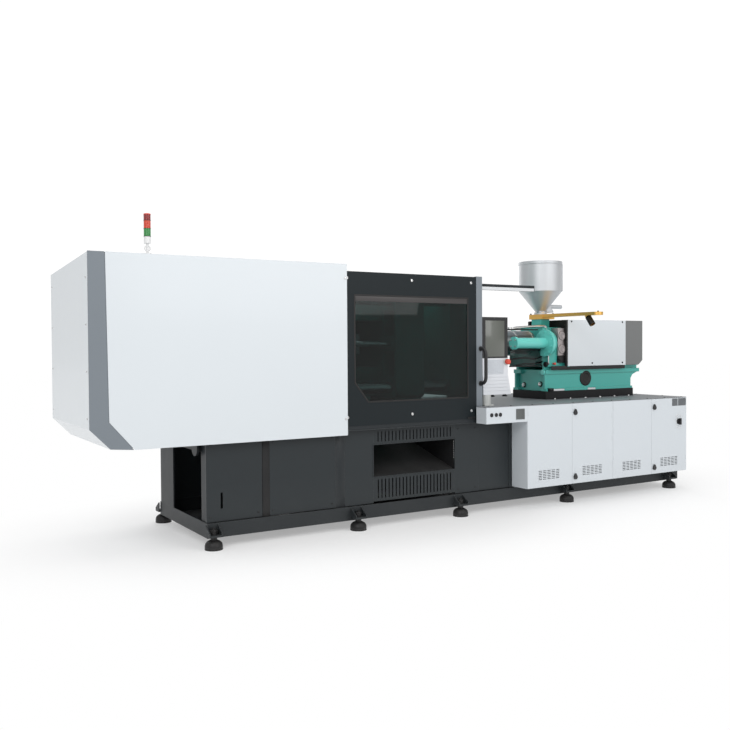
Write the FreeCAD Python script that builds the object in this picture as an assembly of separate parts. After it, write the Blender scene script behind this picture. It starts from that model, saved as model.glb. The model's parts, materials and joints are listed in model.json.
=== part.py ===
import FreeCAD, Part
import math
import os

# Injection moulding machine, millimetres.
# X runs along the machine: -X is the clamp end, +X the injection end.
# -Y is the operator's side, +Z is up, and the floor is z = 0.

V = FreeCAD.Vector

# Clearances
gap = 0.3                     # between pieces that move past each other
fit = 0.08                    # radial, for running shafts and rods
sheet = 3.0                   # covers and cabinets

# Machine as a whole
half_length = 3203.0
front_y = 785.0               # operator-side face of the cabinet
rear_y = 870.0                # rear face of the rear housing
axis_z = 1595.0               # centre of the tie bars, barrel and screw

# Base
tray_x0 = -2302.0
tray_half_width = 585.0
tray_z0 = 80.0
tray_z1 = 197.0
tray_wall = 8.0
beam_y0 = 430.0               # clamp-side beams, both sides
beam_y1 = 550.0
beam_z0 = 740.0
beam_z1 = 850.0
beam_x1 = 560.0
bay_y0 = 290.0                # injection-side beams
bay_y1 = 410.0
bay_z0 = 890.0
post_width = 80.0
clamp_posts = [-2290.0, -1830.0, -950.0, 220.0]
bay_posts = [480.0, 1500.0, 3010.0]
panel_y = 565.0
panel_skin = 2.5
panel_rim = 12.0
panel_z0 = 200.0
panel_z1 = 848.0

# Levelling feet
foot_stations = [-2263.0, -954.0, 145.5, 1486.0, 3021.0]
foot_y = 618.0
pad_radius = 70.0
stud_radius = 14.0
bracket_half = 55.0
bracket_z = 100.0
bracket_plate = 15.0

# Drop chute opening in the front of the base
chute_x0 = -766.0
chute_x1 = 121.0
chute_z0 = 430.0
chute_z1 = 711.0
slot_count = 22
slot_width = 12.0

# Clamp housing
cover_x0 = -half_length
cover_x1 = -1067.0
cover_y = 645.0
cover_z0 = 820.0
cover_top_front = 2267.0
cover_top_rear = 2192.0
chamfer_z = 984.0
chamfer_x = cover_x0 + 148
chamfer_foot_z = 834.0
band_inner_top_x = cover_x0 + 121
band_kink_x = cover_x0 + 137
band_kink_z = 1030.0
band_foot_x = cover_x0 + 320
band_gap = 5.0
beacon_x = cover_x0 + 459
beacon_y = -570.0
beacon_radius = 26.0

# Clamp
platen_half = 490.0
platen_thickness = 270.0
fixed_face_x = 130.0
moving_face_x = -170.0
moving_plate = 310.0
moving_rear_x = -950.0
rear_platen_x0 = -2150.0
rear_platen_x1 = -1900.0
bar_offset = 395.0            # tie bar axes from the machine axis, in Y and Z
bar_radius = 52.0
nut_radius = 85.0
nut_length = 80.0
clamp_stroke = 600.0
ram_radius = 130.0
cylinder_radius = 200.0
rod_radius = 22.0
barrel_side_radius = 45.0
locating_radius = 80.0
locating_depth = 30.0
mould_bolt_pitch = 420.0
mould_bolt_radius = 10.0
ejector_radius = 20.0
shoe_y0 = 432.0

# Sliding doors
door_y = 625.0                # outer face
door_depth = 25.0
door_x0 = -1120.0
door_x1 = 331.0
door_z0 = beam_z1 + 40
door_z1 = 2210.0
door_skin = 3.0
rear_door_z1 = 2170.0
door_rim = 16.0
window_x0 = -989.0
window_x1 = 239.0
window_z0 = 1086.0
window_z1 = 2017.0
window_cut_x = 137.0
window_cut_z = 172.0
window_thickness = 6.0
end_post_x1 = 400.0
end_post_z1 = 2215.0
handle_x = 380.0
handle_z0 = 1203.0
handle_z1 = 1559.0
handle_reach = 93.0
handle_radius = 16.0
handle_bend = 60.0
rail_y1 = door_y - door_depth - 3
rail_y0 = rail_y1 - 37
rail_z0 = 2097.0
rail_z1 = 2153.0
rail_x0 = -2450.0
rail_x1 = 1074.0

# Control panel
panel_front_y = -615.0
screen_x0 = 411.0
screen_x1 = 720.0
screen_z0 = 1452.0
screen_z1 = 1841.0
screen_depth = 40.0
housing_x0 = 425.0
housing_x1 = 762.0
housing_z0 = 1106.0
housing_flare_z = 1295.0
housing_depth = 85.0
swivel_x = 482.0
swivel_y = -580.0
swivel_pin = 20.0
key_x0, key_x1 = 455.0, 670.0
key_z0, key_z1 = 1312.0, 1436.0
stop_x = 700.0
stop_z = 1417.0
stop_radius = 26.0
stop_stem = 9.0
stop_reach = 44.0

# Cabinet and deck
cabinet_x0 = 815.0
cabinet_x1 = 3097.0
cabinet_z0 = 207.0
deck_z0 = 1000.0
deck_thickness = 5.0
cabinet_back = 420.0
leaf = 18.0                   # thickness of a cabinet door
seams = [815.0, 1396.0, 1965.0, 2542.0, 3097.0]
box_x0 = 318.0                # operator box beside the sliding door
box_z0 = 850.0
box_back = 640.0
rail_end_x = 432.0            # just past the end of the door sill
socket_xs = [380.0, 434.0, 483.0]
socket_radius = 12.5
latch_pin = 6.0
latch_z_low = 285.0
latch_z_high = 920.0
isolator_x = 2970.0
isolator_z = 744.0

# Injection unit
plinth_x0 = 1548.0
plinth_x1 = 2857.0
plinth_y = 260.0
plinth_z1 = 1090.0
bed_x0 = 1552.0
bed_x1 = 2846.0
bed_top_x1 = 2970.0
bed_y = 250.0
bed_z1 = 1310.0
track_height = 35.0
throat_x = 1711.0             # axis of the feed throat and the hopper
throat_top = axis_z + 256
neck_half_x = 60.0
neck_half_y = 72.0
housing_block_x0 = 1580.0
housing_block_x1 = 1850.0
housing_foot = 152.0          # length of the feet under the two side cylinders
wing_radius = 126.0
wing_length = 15.0
carriage_beam = 65.0          # width of the two beams under the cover
carriage_y = 240.0
side_axis_y = 250.0           # axes of the two injection cylinders
side_tube = 55.0
side_x0 = 1110.0
side_bore = 45.0
side_rod = 20.0
barrel_x0 = 560.0
nozzle_x = 250.0
barrel_radius = 75.0
screw_bore = 28.0
screw_shaft = 25.0
guard_radius = 130.0
guard_x0 = 660.0
drive_x0 = 2300.0
drive_x1 = 2380.0
hood_x0 = 1820.0
hood_x1 = 2694.0
hood_end_x = 2965.0
hood_y = 300.0
hood_z0 = 1350.0
hood_z1 = 1840.0
slide_x0 = 1645.0
slide_x1 = 1815.0
slide_z1 = throat_top + 51
slide_half = 105.0
arm_half = 60.0
arm_end_y = -870.0
hopper_radius = 226.0
hopper_outlet = 43.0
hopper_cone_z0 = slide_z1 + 18
hopper_cone_z1 = hopper_cone_z0 + 228
hopper_top = hopper_cone_z1 + 312
hopper_wall = 2.0
hopper_staves = 12


# ---- small helpers ----

def box(x0, x1, y0, y1, z0, z1):
    return Part.makeBox(x1 - x0, y1 - y0, z1 - z0, V(x0, y0, z0))


def rod_x(x0, x1, y, z, radius):
    return Part.makeCylinder(radius, x1 - x0, V(x0, y, z), V(1, 0, 0))


def rod_y(y0, y1, x, z, radius):
    return Part.makeCylinder(radius, y1 - y0, V(x, y0, z), V(0, 1, 0))


def rod_z(z0, z1, x, y, radius):
    return Part.makeCylinder(radius, z1 - z0, V(x, y, z0), V(0, 0, 1))


def prism(points, direction):
    return Part.Face(Part.makePolygon(points + [points[0]])).extrude(direction)


def prism_y(outline, y0, y1):
    return prism([V(x, y0, z) for x, z in outline], V(0, y1 - y0, 0))


def prism_x(outline, x0, x1):
    return prism([V(x0, y, z) for y, z in outline], V(x1 - x0, 0, 0))


def revolve_z(outline, x, y):
    points = [V(x + r, y, z) for r, z in outline]
    return Part.Face(Part.makePolygon(points + [points[0]])).revolve(V(x, y, 0), V(0, 0, 1), 360)


def revolve_x(outline, y, z):
    points = [V(x, y, z + r) for x, r in outline]
    return Part.Face(Part.makePolygon(points + [points[0]])).revolve(V(0, y, z), V(1, 0, 0), 360)


def fuse(shapes):
    return shapes[0].multiFuse(shapes[1:]).removeSplitter()


def rear(shape):
    return shape.mirror(V(0, 0, 0), V(0, 1, 0))


def both_sides(shape):
    return [shape, rear(shape)]


def save(name, shape):
    shape.exportStep("parts/" + name + ".step")
    print(name, len(shape.Solids), "solid(s)", round(shape.Volume / 1e6, 2), "litres")


# ---- base ----

def frame_post(x, y0, y1, z1):
    return both_sides(box(x, x + post_width, -y1, -y0, tray_z0 + tray_wall, z1))


def foot_bracket(x):
    y_in = tray_half_width
    y_out = foot_y + bracket_half
    shelf = box(x - bracket_half, x + bracket_half, -y_out, -y_in, bracket_z, bracket_z + bracket_plate)
    shelf = shelf.cut(rod_z(bracket_z - 1, bracket_z + bracket_plate + 1, x, -foot_y, stud_radius + 0.5))
    cheeks = []
    for side in (-1, 1):
        inner = x + side * (bracket_half - 10)
        outer = x + side * bracket_half
        low, high = min(inner, outer), max(inner, outer)
        outline = [(-y_in, bracket_z), (-y_out, bracket_z), (-y_out, bracket_z + 30), (-y_in, tray_z1 - 10)]
        cheeks.append(prism_x(outline, low, high))
    return fuse([shelf] + cheeks)


def base_frame():
    # welded frame: the tray, posts, beams and cross beams butt against each other
    x0, x1 = tray_x0, half_length
    w = tray_wall
    half = tray_half_width
    floor_z = tray_z0 + w
    pieces = [box(x0, x1, -half, half, tray_z0, floor_z), box(x0, x0 + w, -half, half, floor_z, tray_z1),
              box(x1 - w, x1, -half, half, floor_z, tray_z1)]
    pieces += both_sides(box(x0 + w, x1 - w, -half, -half + w, floor_z, tray_z1))
    pieces += both_sides(box(tray_x0 + 12, beam_x1, -beam_y1, -beam_y0, beam_z0, beam_z1))
    pieces += both_sides(box(bay_posts[0], cabinet_x1 - 7, -bay_y1, -bay_y0, bay_z0, deck_z0))
    for x in clamp_posts:
        pieces += frame_post(x, beam_y0, beam_y1, beam_z0)
        pieces.append(box(x, x + post_width, -beam_y0, beam_y0, beam_z0, beam_z1))
    for x in bay_posts:
        pieces += frame_post(x, bay_y0, bay_y1, bay_z0)
        pieces.append(box(x, x + post_width, -bay_y0, bay_y0, bay_z0, deck_z0))
    pieces += frame_post(bay_posts[0], bay_y1, beam_y1, beam_z0)
    for x in foot_stations:
        pieces += both_sides(foot_bracket(x))
    pieces.append(box(tray_x0, tray_x0 + 12, 221, beam_y1, tray_z1, beam_z1))
    pipe_y, pipe_z = -385.0, 770.0
    pipe = rod_x(tray_x0 - 28, tray_x0 + 12, pipe_y, pipe_z, 35)
    pieces.append(fuse([pipe, rod_x(tray_x0 - 28, tray_x0 - 10, pipe_y, pipe_z, 62)]))
    return Part.makeCompound(pieces)


def levelling_feet():
    feet = []
    for x in foot_stations:
        outline = [(0, 0), (pad_radius, 0), (pad_radius, 18), (60, 30), (34, 44), (20, 52),
                   (stud_radius, 52),
                   (stud_radius, 74), (26, 74), (26, bracket_z), (stud_radius, bracket_z),
                   (stud_radius, bracket_z + bracket_plate), (26, bracket_z + bracket_plate),
                   (26, bracket_z + bracket_plate + 18), (stud_radius, bracket_z + bracket_plate + 18),
                   (stud_radius, 165), (0, 165)]
        foot = revolve_z(outline, x, -foot_y)
        feet += both_sides(foot)
    return Part.makeCompound(feet)


def pan(x0, x1, z0, z1, face=panel_y, depth=panel_y - beam_y1):
    # folded sheet panel: outer face on -Y, with a rim that reaches back to the frame
    body = box(x0, x1, -face, -face + depth, z0, z1)
    rim = min(panel_rim, (x1 - x0) / 4, (z1 - z0) / 4)
    return body.cut(box(x0 + rim, x1 - rim, -face + panel_skin, -face + depth + 1, z0 + rim, z1 - rim))


def front_panels():
    left = pan(tray_x0 + 1, -1825, panel_z0, panel_z1)
    slot = box(-2183, -2163, -panel_y - 1, -panel_y + panel_skin + 1, 300, 427)
    left = left.cut(slot)
    middle = pan(-1760, -1148, panel_z0, panel_z1)
    strip = pan(-1147, -1060, panel_z0, panel_z1)
    recessed = pan(399, 773, panel_z0, panel_z1, panel_y - 5, panel_y - 5 - beam_y1)
    trim = pan(774, cabinet_x0 - 1, panel_z0, panel_z1)
    link = box(560, cabinet_x0 - 1, -beam_y1, -beam_y1 + 20, beam_z0, beam_z1)
    return Part.makeCompound([left, middle, strip, fuse([recessed, trim, link])])


def vent(z0, z1):
    body = pan(chute_x0 + 0.5, chute_x1 - 0.5, z0, z1)
    pitch = (chute_x1 - chute_x0 - 2 * panel_rim) / (slot_count + 1)
    slots = []
    for i in range(slot_count):
        x = chute_x0 + panel_rim + pitch * (i + 1)
        slots.append(box(x - slot_width / 2, x + slot_width / 2, -panel_y - 1, -panel_y + panel_skin + 1,
                         z0 + 25, z1 - 25))
    return body.cut(Part.makeCompound(slots))


def chute_panels():
    left = pan(-1059, chute_x0, panel_z0, panel_z1)
    right = pan(chute_x1, 398, panel_z0, panel_z1)
    return Part.makeCompound([left, right, vent(chute_z1, panel_z1), vent(panel_z0 + 14, chute_z0)])


def drop_chute():
    # sheet tray that slopes down to the operator's side, hung between the base beams
    slope = [(-beam_y1, chute_z0), (-beam_y1, chute_z0 + 4), (beam_y0 - 30, 704), (beam_y0 - 30, 700)]
    floor = prism_x(slope, chute_x0 + 2, chute_x1 - 2)
    cheek = [(-beam_y1, chute_z0), (beam_y0 - 30, 700), (beam_y0 - 30, beam_z0), (-beam_y1, beam_z0)]
    left = prism_x(cheek, chute_x0 + 2, chute_x0 + 2 + sheet)
    right = prism_x(cheek, chute_x1 - 2 - sheet, chute_x1 - 2)
    return fuse([floor, left, right])


def pump_motor():
    base_z = tray_z0 + tray_wall
    z = base_z + 250
    body = rod_x(1640, 2180, 0, z, 170)
    bell = rod_x(2180, 2280, 0, z, 120)
    pump = rod_x(2280, 2480, 0, z, 100)
    feet = [box(1700, 1760, -160, 160, base_z, z - 80), box(2060, 2120, -160, 160, base_z, z - 80)]
    fins = [rod_x(1700 + 45 * i, 1712 + 45 * i, 0, z, 185) for i in range(10)]
    return fuse([body, bell, pump] + feet + fins)


def rear_housing():
    # closed rear housing of separate sheets that mirrors the cabinet, open towards the frame
    x0, x1 = beam_x1 + 2, cabinet_x1
    y1 = rear_y - sheet
    z0, z1 = cabinet_z0, deck_z0
    outer = box(x0, x1, y1, rear_y, z0, z1)
    slots = []
    for station in (900.0, 1600.0, 2300.0):
        for i in range(8):
            z = 300 + 26 * i
            slots.append(box(station, station + 320, y1 - 1, rear_y + 1, z, z + 10))
    outer = outer.cut(Part.makeCompound(slots))
    ends = [box(x, x + sheet, cabinet_back, y1, z0, z1) for x in (x0, x1 - sheet)]
    top = box(x0 + sheet, x1 - sheet, cabinet_back, y1, z1 - sheet, z1)
    bottom = box(x0 + sheet, x1 - sheet, cabinet_back, y1, z0, z0 + sheet)
    rest = box(x0 + 20, x1 - 7, tray_half_width - 25, tray_half_width, tray_z1, z0)
    cleat = box(x0 + 100, x1 - 100, bay_y1, cabinet_back, z1 - 60, z1 - sheet)
    end_wall = box(x1 - sheet, x1, -cabinet_back, cabinet_back, z0, z1)
    return [outer, top, bottom, rest, cleat, end_wall] + ends


def rear_panels():
    spans = [(tray_x0 + 1, -1825), (-1760, -1148), (-1059, chute_x0), (chute_x0 + 1, chute_x1 - 1),
             (chute_x1, 398), (399, beam_x1)]
    pans = [rear(pan(x0, x1, panel_z0, panel_z1)) for x0, x1 in spans]
    return Part.makeCompound(pans + rear_housing())


# ---- clamp housing ----

def cover_front():
    y0, y1 = -cover_y, -cover_y + sheet
    g = band_gap
    outline = [(band_inner_top_x + g, cover_top_front), (band_kink_x + g, band_kink_z),
               (band_foot_x + g, cover_z0), (cover_x1, cover_z0), (cover_x1, cover_top_front)]
    return prism_y(outline, y0, y1)


def cover_rear():
    outline = [(cover_x0 + sheet, cover_top_rear), (cover_x0 + sheet, chamfer_z),
               (chamfer_x, chamfer_foot_z),
               (cover_x1, cover_z0), (cover_x1, cover_top_rear)]
    return prism_y(outline, cover_y - sheet, cover_y)


def trim_band():
    outline = [(cover_x0, cover_top_front), (cover_x0, chamfer_z), (chamfer_x, chamfer_foot_z),
               (band_foot_x, cover_z0), (band_kink_x, band_kink_z), (band_inner_top_x, cover_top_front)]
    band = prism_y(outline, -cover_y, -cover_y + sheet)
    backing = prism_y([(band_inner_top_x - 40, cover_top_front - 12), (band_kink_x - 40, band_kink_z),
                       (band_foot_x - 40, cover_z0 + 16), (band_foot_x + 40, cover_z0 + 16),
                       (band_kink_x + 40, band_kink_z), (band_inner_top_x + 40, cover_top_front - 12)],
                      -cover_y + sheet, -cover_y + 2 * sheet)
    return fuse([band, backing])


def roof_height(y, z_front=cover_top_front, z_rear=cover_top_rear):
    return z_front + (z_rear - z_front) * (y + cover_y) / (2 * cover_y)


def end_cap():
    inner = cover_y - 2 * sheet
    wall_outline = [(-inner, chamfer_z), (inner, chamfer_z), (inner, roof_height(inner) - 2 * sheet),
                    (-inner, roof_height(-inner) - 2 * sheet)]
    wall = prism_x(wall_outline, cover_x0, cover_x0 + sheet)
    slant = prism_y([(cover_x0, chamfer_z), (chamfer_x, chamfer_foot_z), (tray_x0 - 40, chamfer_foot_z),
                     (tray_x0 - 40, chamfer_foot_z + sheet), (chamfer_x + 1, chamfer_foot_z + sheet),
                     (cover_x0 + sheet, chamfer_z)], -inner, inner)
    return fuse([wall, slant])


def clamp_roof():
    inner = cover_y - sheet
    outline = [(-inner, roof_height(-inner) - 2 * sheet), (inner, roof_height(inner) - 2 * sheet),
               (inner, roof_height(inner) - sheet), (-inner, roof_height(-inner) - sheet)]
    return prism_x(outline, cover_x0 + sheet, cover_x1)


def beacon_base():
    top = 2402.0
    ring_z = 2314.0
    foot = rod_z(2200, 2276, beacon_x, beacon_y, 30)
    stalk = rod_z(2200, 2350, beacon_x, beacon_y, 9)
    ring = Part.makeTorus(20, 5, V(beacon_x, beacon_y, ring_z), V(0, 1, 0))
    cup = rod_z(2350, top, beacon_x, beacon_y, beacon_radius)
    body = fuse([foot, stalk, ring, cup])
    below = prism_x([(-cover_y, 2000), (cover_y, 2000), (cover_y, roof_height(cover_y) - sheet),
                     (-cover_y, roof_height(-cover_y) - sheet)], beacon_x - 100, beacon_x + 100)
    return body.cut(below)


def beacon_lenses():
    tiers = []
    z = 2402.0
    for height in (59.0, 60.0, 45.0):
        tiers.append(rod_z(z, z + height, beacon_x, beacon_y, beacon_radius))
        z += height
    return Part.makeCompound(tiers)


# ---- clamp ----

def bar_centres():
    return [(sy * bar_offset, axis_z + sz * bar_offset) for sy in (-1, 1) for sz in (-1, 1)]


def bar_holes(x0, x1, radius):
    return [rod_x(x0 - 1, x1 + 1, y, z, radius) for y, z in bar_centres()]


def bolt_holes(x0, x1):
    half = mould_bolt_pitch / 2
    return [rod_x(x0, x1, sy * half, axis_z + sz * half, mould_bolt_radius) for sy in (-1, 1)
            for sz in (-1, 1)]


def platen_block(x0, x1):
    block = box(x0, x1, -platen_half, platen_half, axis_z - platen_half, axis_z + platen_half)
    return block.makeChamfer(25, [e for e in block.Edges if abs(e.Vertexes[0].X - e.Vertexes[1].X) > 1])


def standing_feet(x0, x1):
    z1 = axis_z - platen_half + 30
    return both_sides(box(x0, x1, -platen_half + 30, -shoe_y0, beam_z1, z1))


def fixed_platen():
    x0, x1 = fixed_face_x, fixed_face_x + platen_thickness
    block = fuse([platen_block(x0, x1)] + standing_feet(x0, x1))
    throat = revolve_x([(x0 - 1, 0), (x0 - 1, locating_radius), (x0 + locating_depth, locating_radius),
                        (x0 + locating_depth, 50), (x0 + 120, 50), (x1 + 1, 131), (x1 + 1, 0)], 0, axis_z)
    holes = bar_holes(x0, x1, bar_radius + fit) + bolt_holes(x0 - 1, x0 + 45)
    return block.cut(Part.makeCompound(holes + [throat]))


def moving_platen():
    x1 = moving_face_x
    x0 = x1 - moving_plate
    plate = platen_block(x0, x1)
    back_x1 = moving_rear_x + 60
    webs = [box(moving_rear_x, x0, -260, 260, axis_z + 210, axis_z + 270),
            box(moving_rear_x, x0, -260, 260, axis_z - 270, axis_z - 210),
            box(moving_rear_x, back_x1, -260, 260, axis_z - 270, axis_z + 270)]
    ribs = []
    for side in (-1, 1):
        for y in (-200, 200):
            z_in = axis_z + side * 270
            z_out = axis_z + side * 430
            ribs.append(prism_y([(x0, z_in), (x0, z_out), (x0 - 160, z_out), (moving_rear_x, z_in)],
                                y - 30, y + 30))
    shoes = both_sides(box(x0 + 10, x1 - 10, -platen_half + 30, -shoe_y0, beam_z1 + gap,
                           axis_z - platen_half + 30))
    block = fuse([plate] + webs + ribs + shoes)
    centre = rod_x(moving_rear_x + 61, x1 + 1, 0, axis_z, ejector_radius + fit)
    pockets = []
    for sy in (-1, 1):
        y0, y1 = sorted((sy * 300, sy * 460))
        pockets.append(box(x0 - 1, x0 + 200, y0, y1, axis_z - 300, axis_z - 70))
        pockets.append(box(x0 - 1, x0 + 200, y0, y1, axis_z + 70, axis_z + 300))
    holes = bar_holes(x0, x1, bar_radius + fit) + bolt_holes(x1 - 45, x1 + 1)
    return block.cut(Part.makeCompound(holes + [centre] + pockets))


def rear_platen():
    x0, x1 = rear_platen_x0, rear_platen_x1
    block = fuse([platen_block(x0, x1)] + standing_feet(x0, x1))
    holes = bar_holes(x0, x1, bar_radius + fit) + [rod_x(x0 - 1, x1 + 1, 0, axis_z, ram_radius + 30 + fit)]
    for sy in (-1, 1):
        holes.append(rod_x(x0 - 1, x1 + 1, sy * bar_offset, axis_z, barrel_side_radius + fit))
    return block.cut(Part.makeCompound(holes))


def tie_bars():
    x0 = rear_platen_x0 - nut_length
    x1 = fixed_face_x + platen_thickness + nut_length
    return Part.makeCompound([rod_x(x0, x1, y, z, bar_radius) for y, z in bar_centres()])


def tie_bar_nuts():
    nuts = []
    for y, z in bar_centres():
        for x0 in (rear_platen_x0 - nut_length, fixed_face_x + platen_thickness):
            nut = rod_x(x0, x0 + nut_length, y, z, nut_radius)
            nuts.append(nut.cut(rod_x(x0 - 1, x0 + nut_length + 1, y, z, bar_radius + fit)))
    return Part.makeCompound(nuts)


def clamp_cylinder():
    x_back = rear_platen_x0 - 300 - clamp_stroke - 80
    gland = rear_platen_x1 - 90
    outline = [(x_back, 0), (x_back, cylinder_radius), (x_back + 60, cylinder_radius), (x_back + 60, 180),
               (rear_platen_x0 - 60, 180), (rear_platen_x0 - 60, 230), (rear_platen_x0, 230),
               (rear_platen_x0, ram_radius + 30), (rear_platen_x1, ram_radius + 30),
               (rear_platen_x1, ram_radius + fit), (gland, ram_radius + fit), (gland, ram_radius + 10),
               (x_back + 70, ram_radius + 10), (x_back + 70, 0)]
    return revolve_x(outline, 0, axis_z)


def clamp_ram():
    back = rear_platen_x0 - 300
    flange = [(moving_rear_x - 40, 0), (moving_rear_x - 40, 195), (moving_rear_x, 195), (moving_rear_x, 0)]
    return fuse([revolve_x(flange, 0, axis_z), rod_x(back, moving_rear_x - 40, 0, axis_z, ram_radius)])


def traverse_cylinders():
    x_back = rear_platen_x1 - 250 - clamp_stroke - 100
    outline = [(x_back, 0), (x_back, 55), (x_back + 40, 55), (x_back + 40, barrel_side_radius),
               (rear_platen_x1, barrel_side_radius), (rear_platen_x1, 60), (rear_platen_x1 + 30, 60),
               (rear_platen_x1 + 30, rod_radius + fit), (rear_platen_x1 - 30, rod_radius + fit),
               (rear_platen_x1 - 30, 35), (x_back + 45, 35), (x_back + 45, 0)]
    return Part.makeCompound([revolve_x(outline, sy * bar_offset, axis_z) for sy in (-1, 1)])


def traverse_rods():
    x1 = moving_face_x - moving_plate
    x0 = rear_platen_x1 - 250
    return Part.makeCompound([rod_x(x0, x1, sy * bar_offset, axis_z, rod_radius) for sy in (-1, 1)])


def ejector():
    x = moving_rear_x + 240
    plate = box(x, x + 40, -180, 180, axis_z - 90, axis_z + 90)
    pin = rod_x(x + 40, moving_face_x - 20, 0, axis_z, ejector_radius)
    cylinder_rod = rod_x(moving_rear_x + 60 + gap, x, 0, axis_z, 30)
    return fuse([plate, pin, cylinder_rod])


# ---- sliding doors ----

def window_outline(grow):
    x0, x1 = window_x0 - grow, window_x1 + grow
    z0, z1 = window_z0 - grow, window_z1 + grow
    return [(x0, z1), (x0, z0 + window_cut_z), (x0 + window_cut_x, z0), (x1, z0), (x1, z1)]


def door_panel(z1=door_z1):
    y0, y1 = -door_y, -door_y + door_depth
    body = box(door_x0, door_x1, y0, y1, door_z0 + gap, z1)
    hollow = box(door_x0 + door_rim, door_x1 - door_rim, y0 + door_skin, y1 + 1,
                 door_z0 + door_rim, z1 - door_rim)
    hollow = hollow.cut(prism_y(window_outline(door_rim), y0, y1 + 2))
    return body.cut(hollow).cut(prism_y(window_outline(0), y0 - 1, y1 + 1))


def door_window():
    return prism_y(window_outline(-gap), -door_y + 4, -door_y + 4 + window_thickness)


def door_post(z1=end_post_z1):
    y0, y1 = -door_y - 3, -door_y + door_depth
    tube = box(door_x1, end_post_x1, y0, y1, door_z0 + gap, z1)
    return tube.cut(box(door_x1 + 4, end_post_x1 - 4, y0 + 4, y1 - 4, door_z0, z1 - 4))


def arch(x, y_face):
    # round bar bent into a D, both feet on the post
    bend = handle_bend
    y_out = y_face - handle_reach + handle_radius
    z0, z1 = handle_z0 + handle_radius, handle_z1 - handle_radius
    diagonal = bend * math.sqrt(0.5)
    path = Part.Wire([
        Part.LineSegment(V(x, y_face, z0), V(x, y_out + bend, z0)).toShape(),
        Part.Arc(V(x, y_out + bend, z0), V(x, y_out + bend - diagonal, z0 + bend - diagonal),
                 V(x, y_out, z0 + bend)).toShape(),
        Part.LineSegment(V(x, y_out, z0 + bend), V(x, y_out, z1 - bend)).toShape(),
        Part.Arc(V(x, y_out, z1 - bend), V(x, y_out + bend - diagonal, z1 - bend + diagonal),
                 V(x, y_out + bend, z1)).toShape(),
        Part.LineSegment(V(x, y_out + bend, z1), V(x, y_face, z1)).toShape()])
    section = Part.Wire(Part.Circle(V(x, y_face, z0), V(0, 1, 0), handle_radius).toShape())
    return path.makePipeShell([section], True, False)


def door_handle():
    return arch(handle_x, -door_y - 3)


def rear_door_panel():
    return rear(fuse([door_panel(rear_door_z1), door_post(rear_door_z1), door_handle()]))


def door_rails():
    top = box(rail_x0, rail_x1, -rail_y1, -rail_y0, rail_z0, rail_z1)
    groove = box(rail_x0 - 1, rail_x1 + 1, -rail_y1 - 1, -rail_y1 + 12, rail_z0 + 18, rail_z1 - 18)
    rails = both_sides(top.cut(groove))
    z = axis_z + platen_half
    for x in (fixed_face_x + 70, rear_platen_x0 + 50):
        rails += both_sides(box(x, x + 130, -rail_y0, -platen_half + 60, z, z + 15))
        rails += both_sides(box(x, x + 130, -rail_y0, -rail_y0 + 15, z + 15, rail_z1))
    sill_x1 = 420.0
    sill_z1 = beam_z1 + 6
    rails += both_sides(box(tray_x0 + 2, sill_x1, -door_y - 3, -beam_y1 + 10, beam_z1, sill_z1))
    rails += both_sides(box(tray_x0 + 2, cover_x1 - 20, -cover_y + sheet, -door_y - 3, beam_z1, sill_z1))
    rails += both_sides(box(tray_x0 + 2, sill_x1, -door_y + 5, -door_y + 13, sill_z1, door_z0))
    return Part.makeCompound(rails)


# ---- control panel ----

def panel_post():
    post = rod_z(deck_z0 + deck_thickness, housing_z0 - gap, swivel_x, swivel_y, 46)
    foot = box(swivel_x - 55, swivel_x + 55, swivel_y - 50, swivel_y + 50,
               deck_z0 + deck_thickness, deck_z0 + deck_thickness + 12)
    pin = rod_z(housing_z0 - gap, housing_z0 + 60, swivel_x, swivel_y, swivel_pin)
    return fuse([post, foot, pin])


def panel_housing():
    y0 = panel_front_y
    lower = prism_y([(housing_x0, housing_z0), (housing_x1, housing_z0), (screen_x1 + 2, housing_flare_z),
                     (screen_x1, screen_z0), (screen_x0, screen_z0), (screen_x0 + 3, housing_flare_z)],
                    y0, y0 + housing_depth)
    back = box(screen_x0 + 12, screen_x1 - 12, y0 + screen_depth, y0 + screen_depth + 20, screen_z0,
               screen_z1 - 20)
    body = fuse([lower, back])
    body = body.cut(rod_z(housing_z0 - 1, housing_z0 + 60 + gap, swivel_x, swivel_y, swivel_pin + fit))
    body = body.cut(rod_y(y0 - 1, y0 + 30, stop_x, stop_z, stop_stem + fit))
    return body.cut(box(key_x0, key_x1, y0 - 1, y0 + 3, key_z0, key_z1))


def panel_screen():
    y0 = panel_front_y
    body = box(screen_x0, screen_x1, y0, y0 + screen_depth, screen_z0, screen_z1)
    return body.cut(box(screen_x0 + 38, screen_x1 - 38, y0 - 1, y0 + 2, screen_z0 + 14, screen_z1 - 32))


def panel_keys():
    y0 = panel_front_y
    pad = box(key_x0, key_x1, y0 + 1, y0 + 3, key_z0, key_z1)
    keys = []
    columns, rows = 8, 4
    pitch_x = (key_x1 - key_x0) / columns
    pitch_z = (key_z1 - key_z0) / rows
    for i in range(columns):
        for j in range(rows):
            x = key_x0 + pitch_x * i + 4
            z = key_z0 + pitch_z * j + 6
            keys.append(box(x, x + pitch_x - 8, y0 - 1, y0 + 1, z, z + pitch_z - 12))
    return fuse([pad] + keys)


def emergency_stop():
    y0 = panel_front_y
    stem = rod_y(y0 - 16, y0 + 20, stop_x, stop_z, stop_stem)
    head = rod_y(y0 - stop_reach, y0 - 14, stop_x, stop_z, stop_radius)
    head = head.makeFillet(9, [e for e in head.Edges if e.Vertexes[0].Y < y0 - stop_reach + 1])
    return fuse([stem, head])


# ---- cabinet and deck ----

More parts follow.
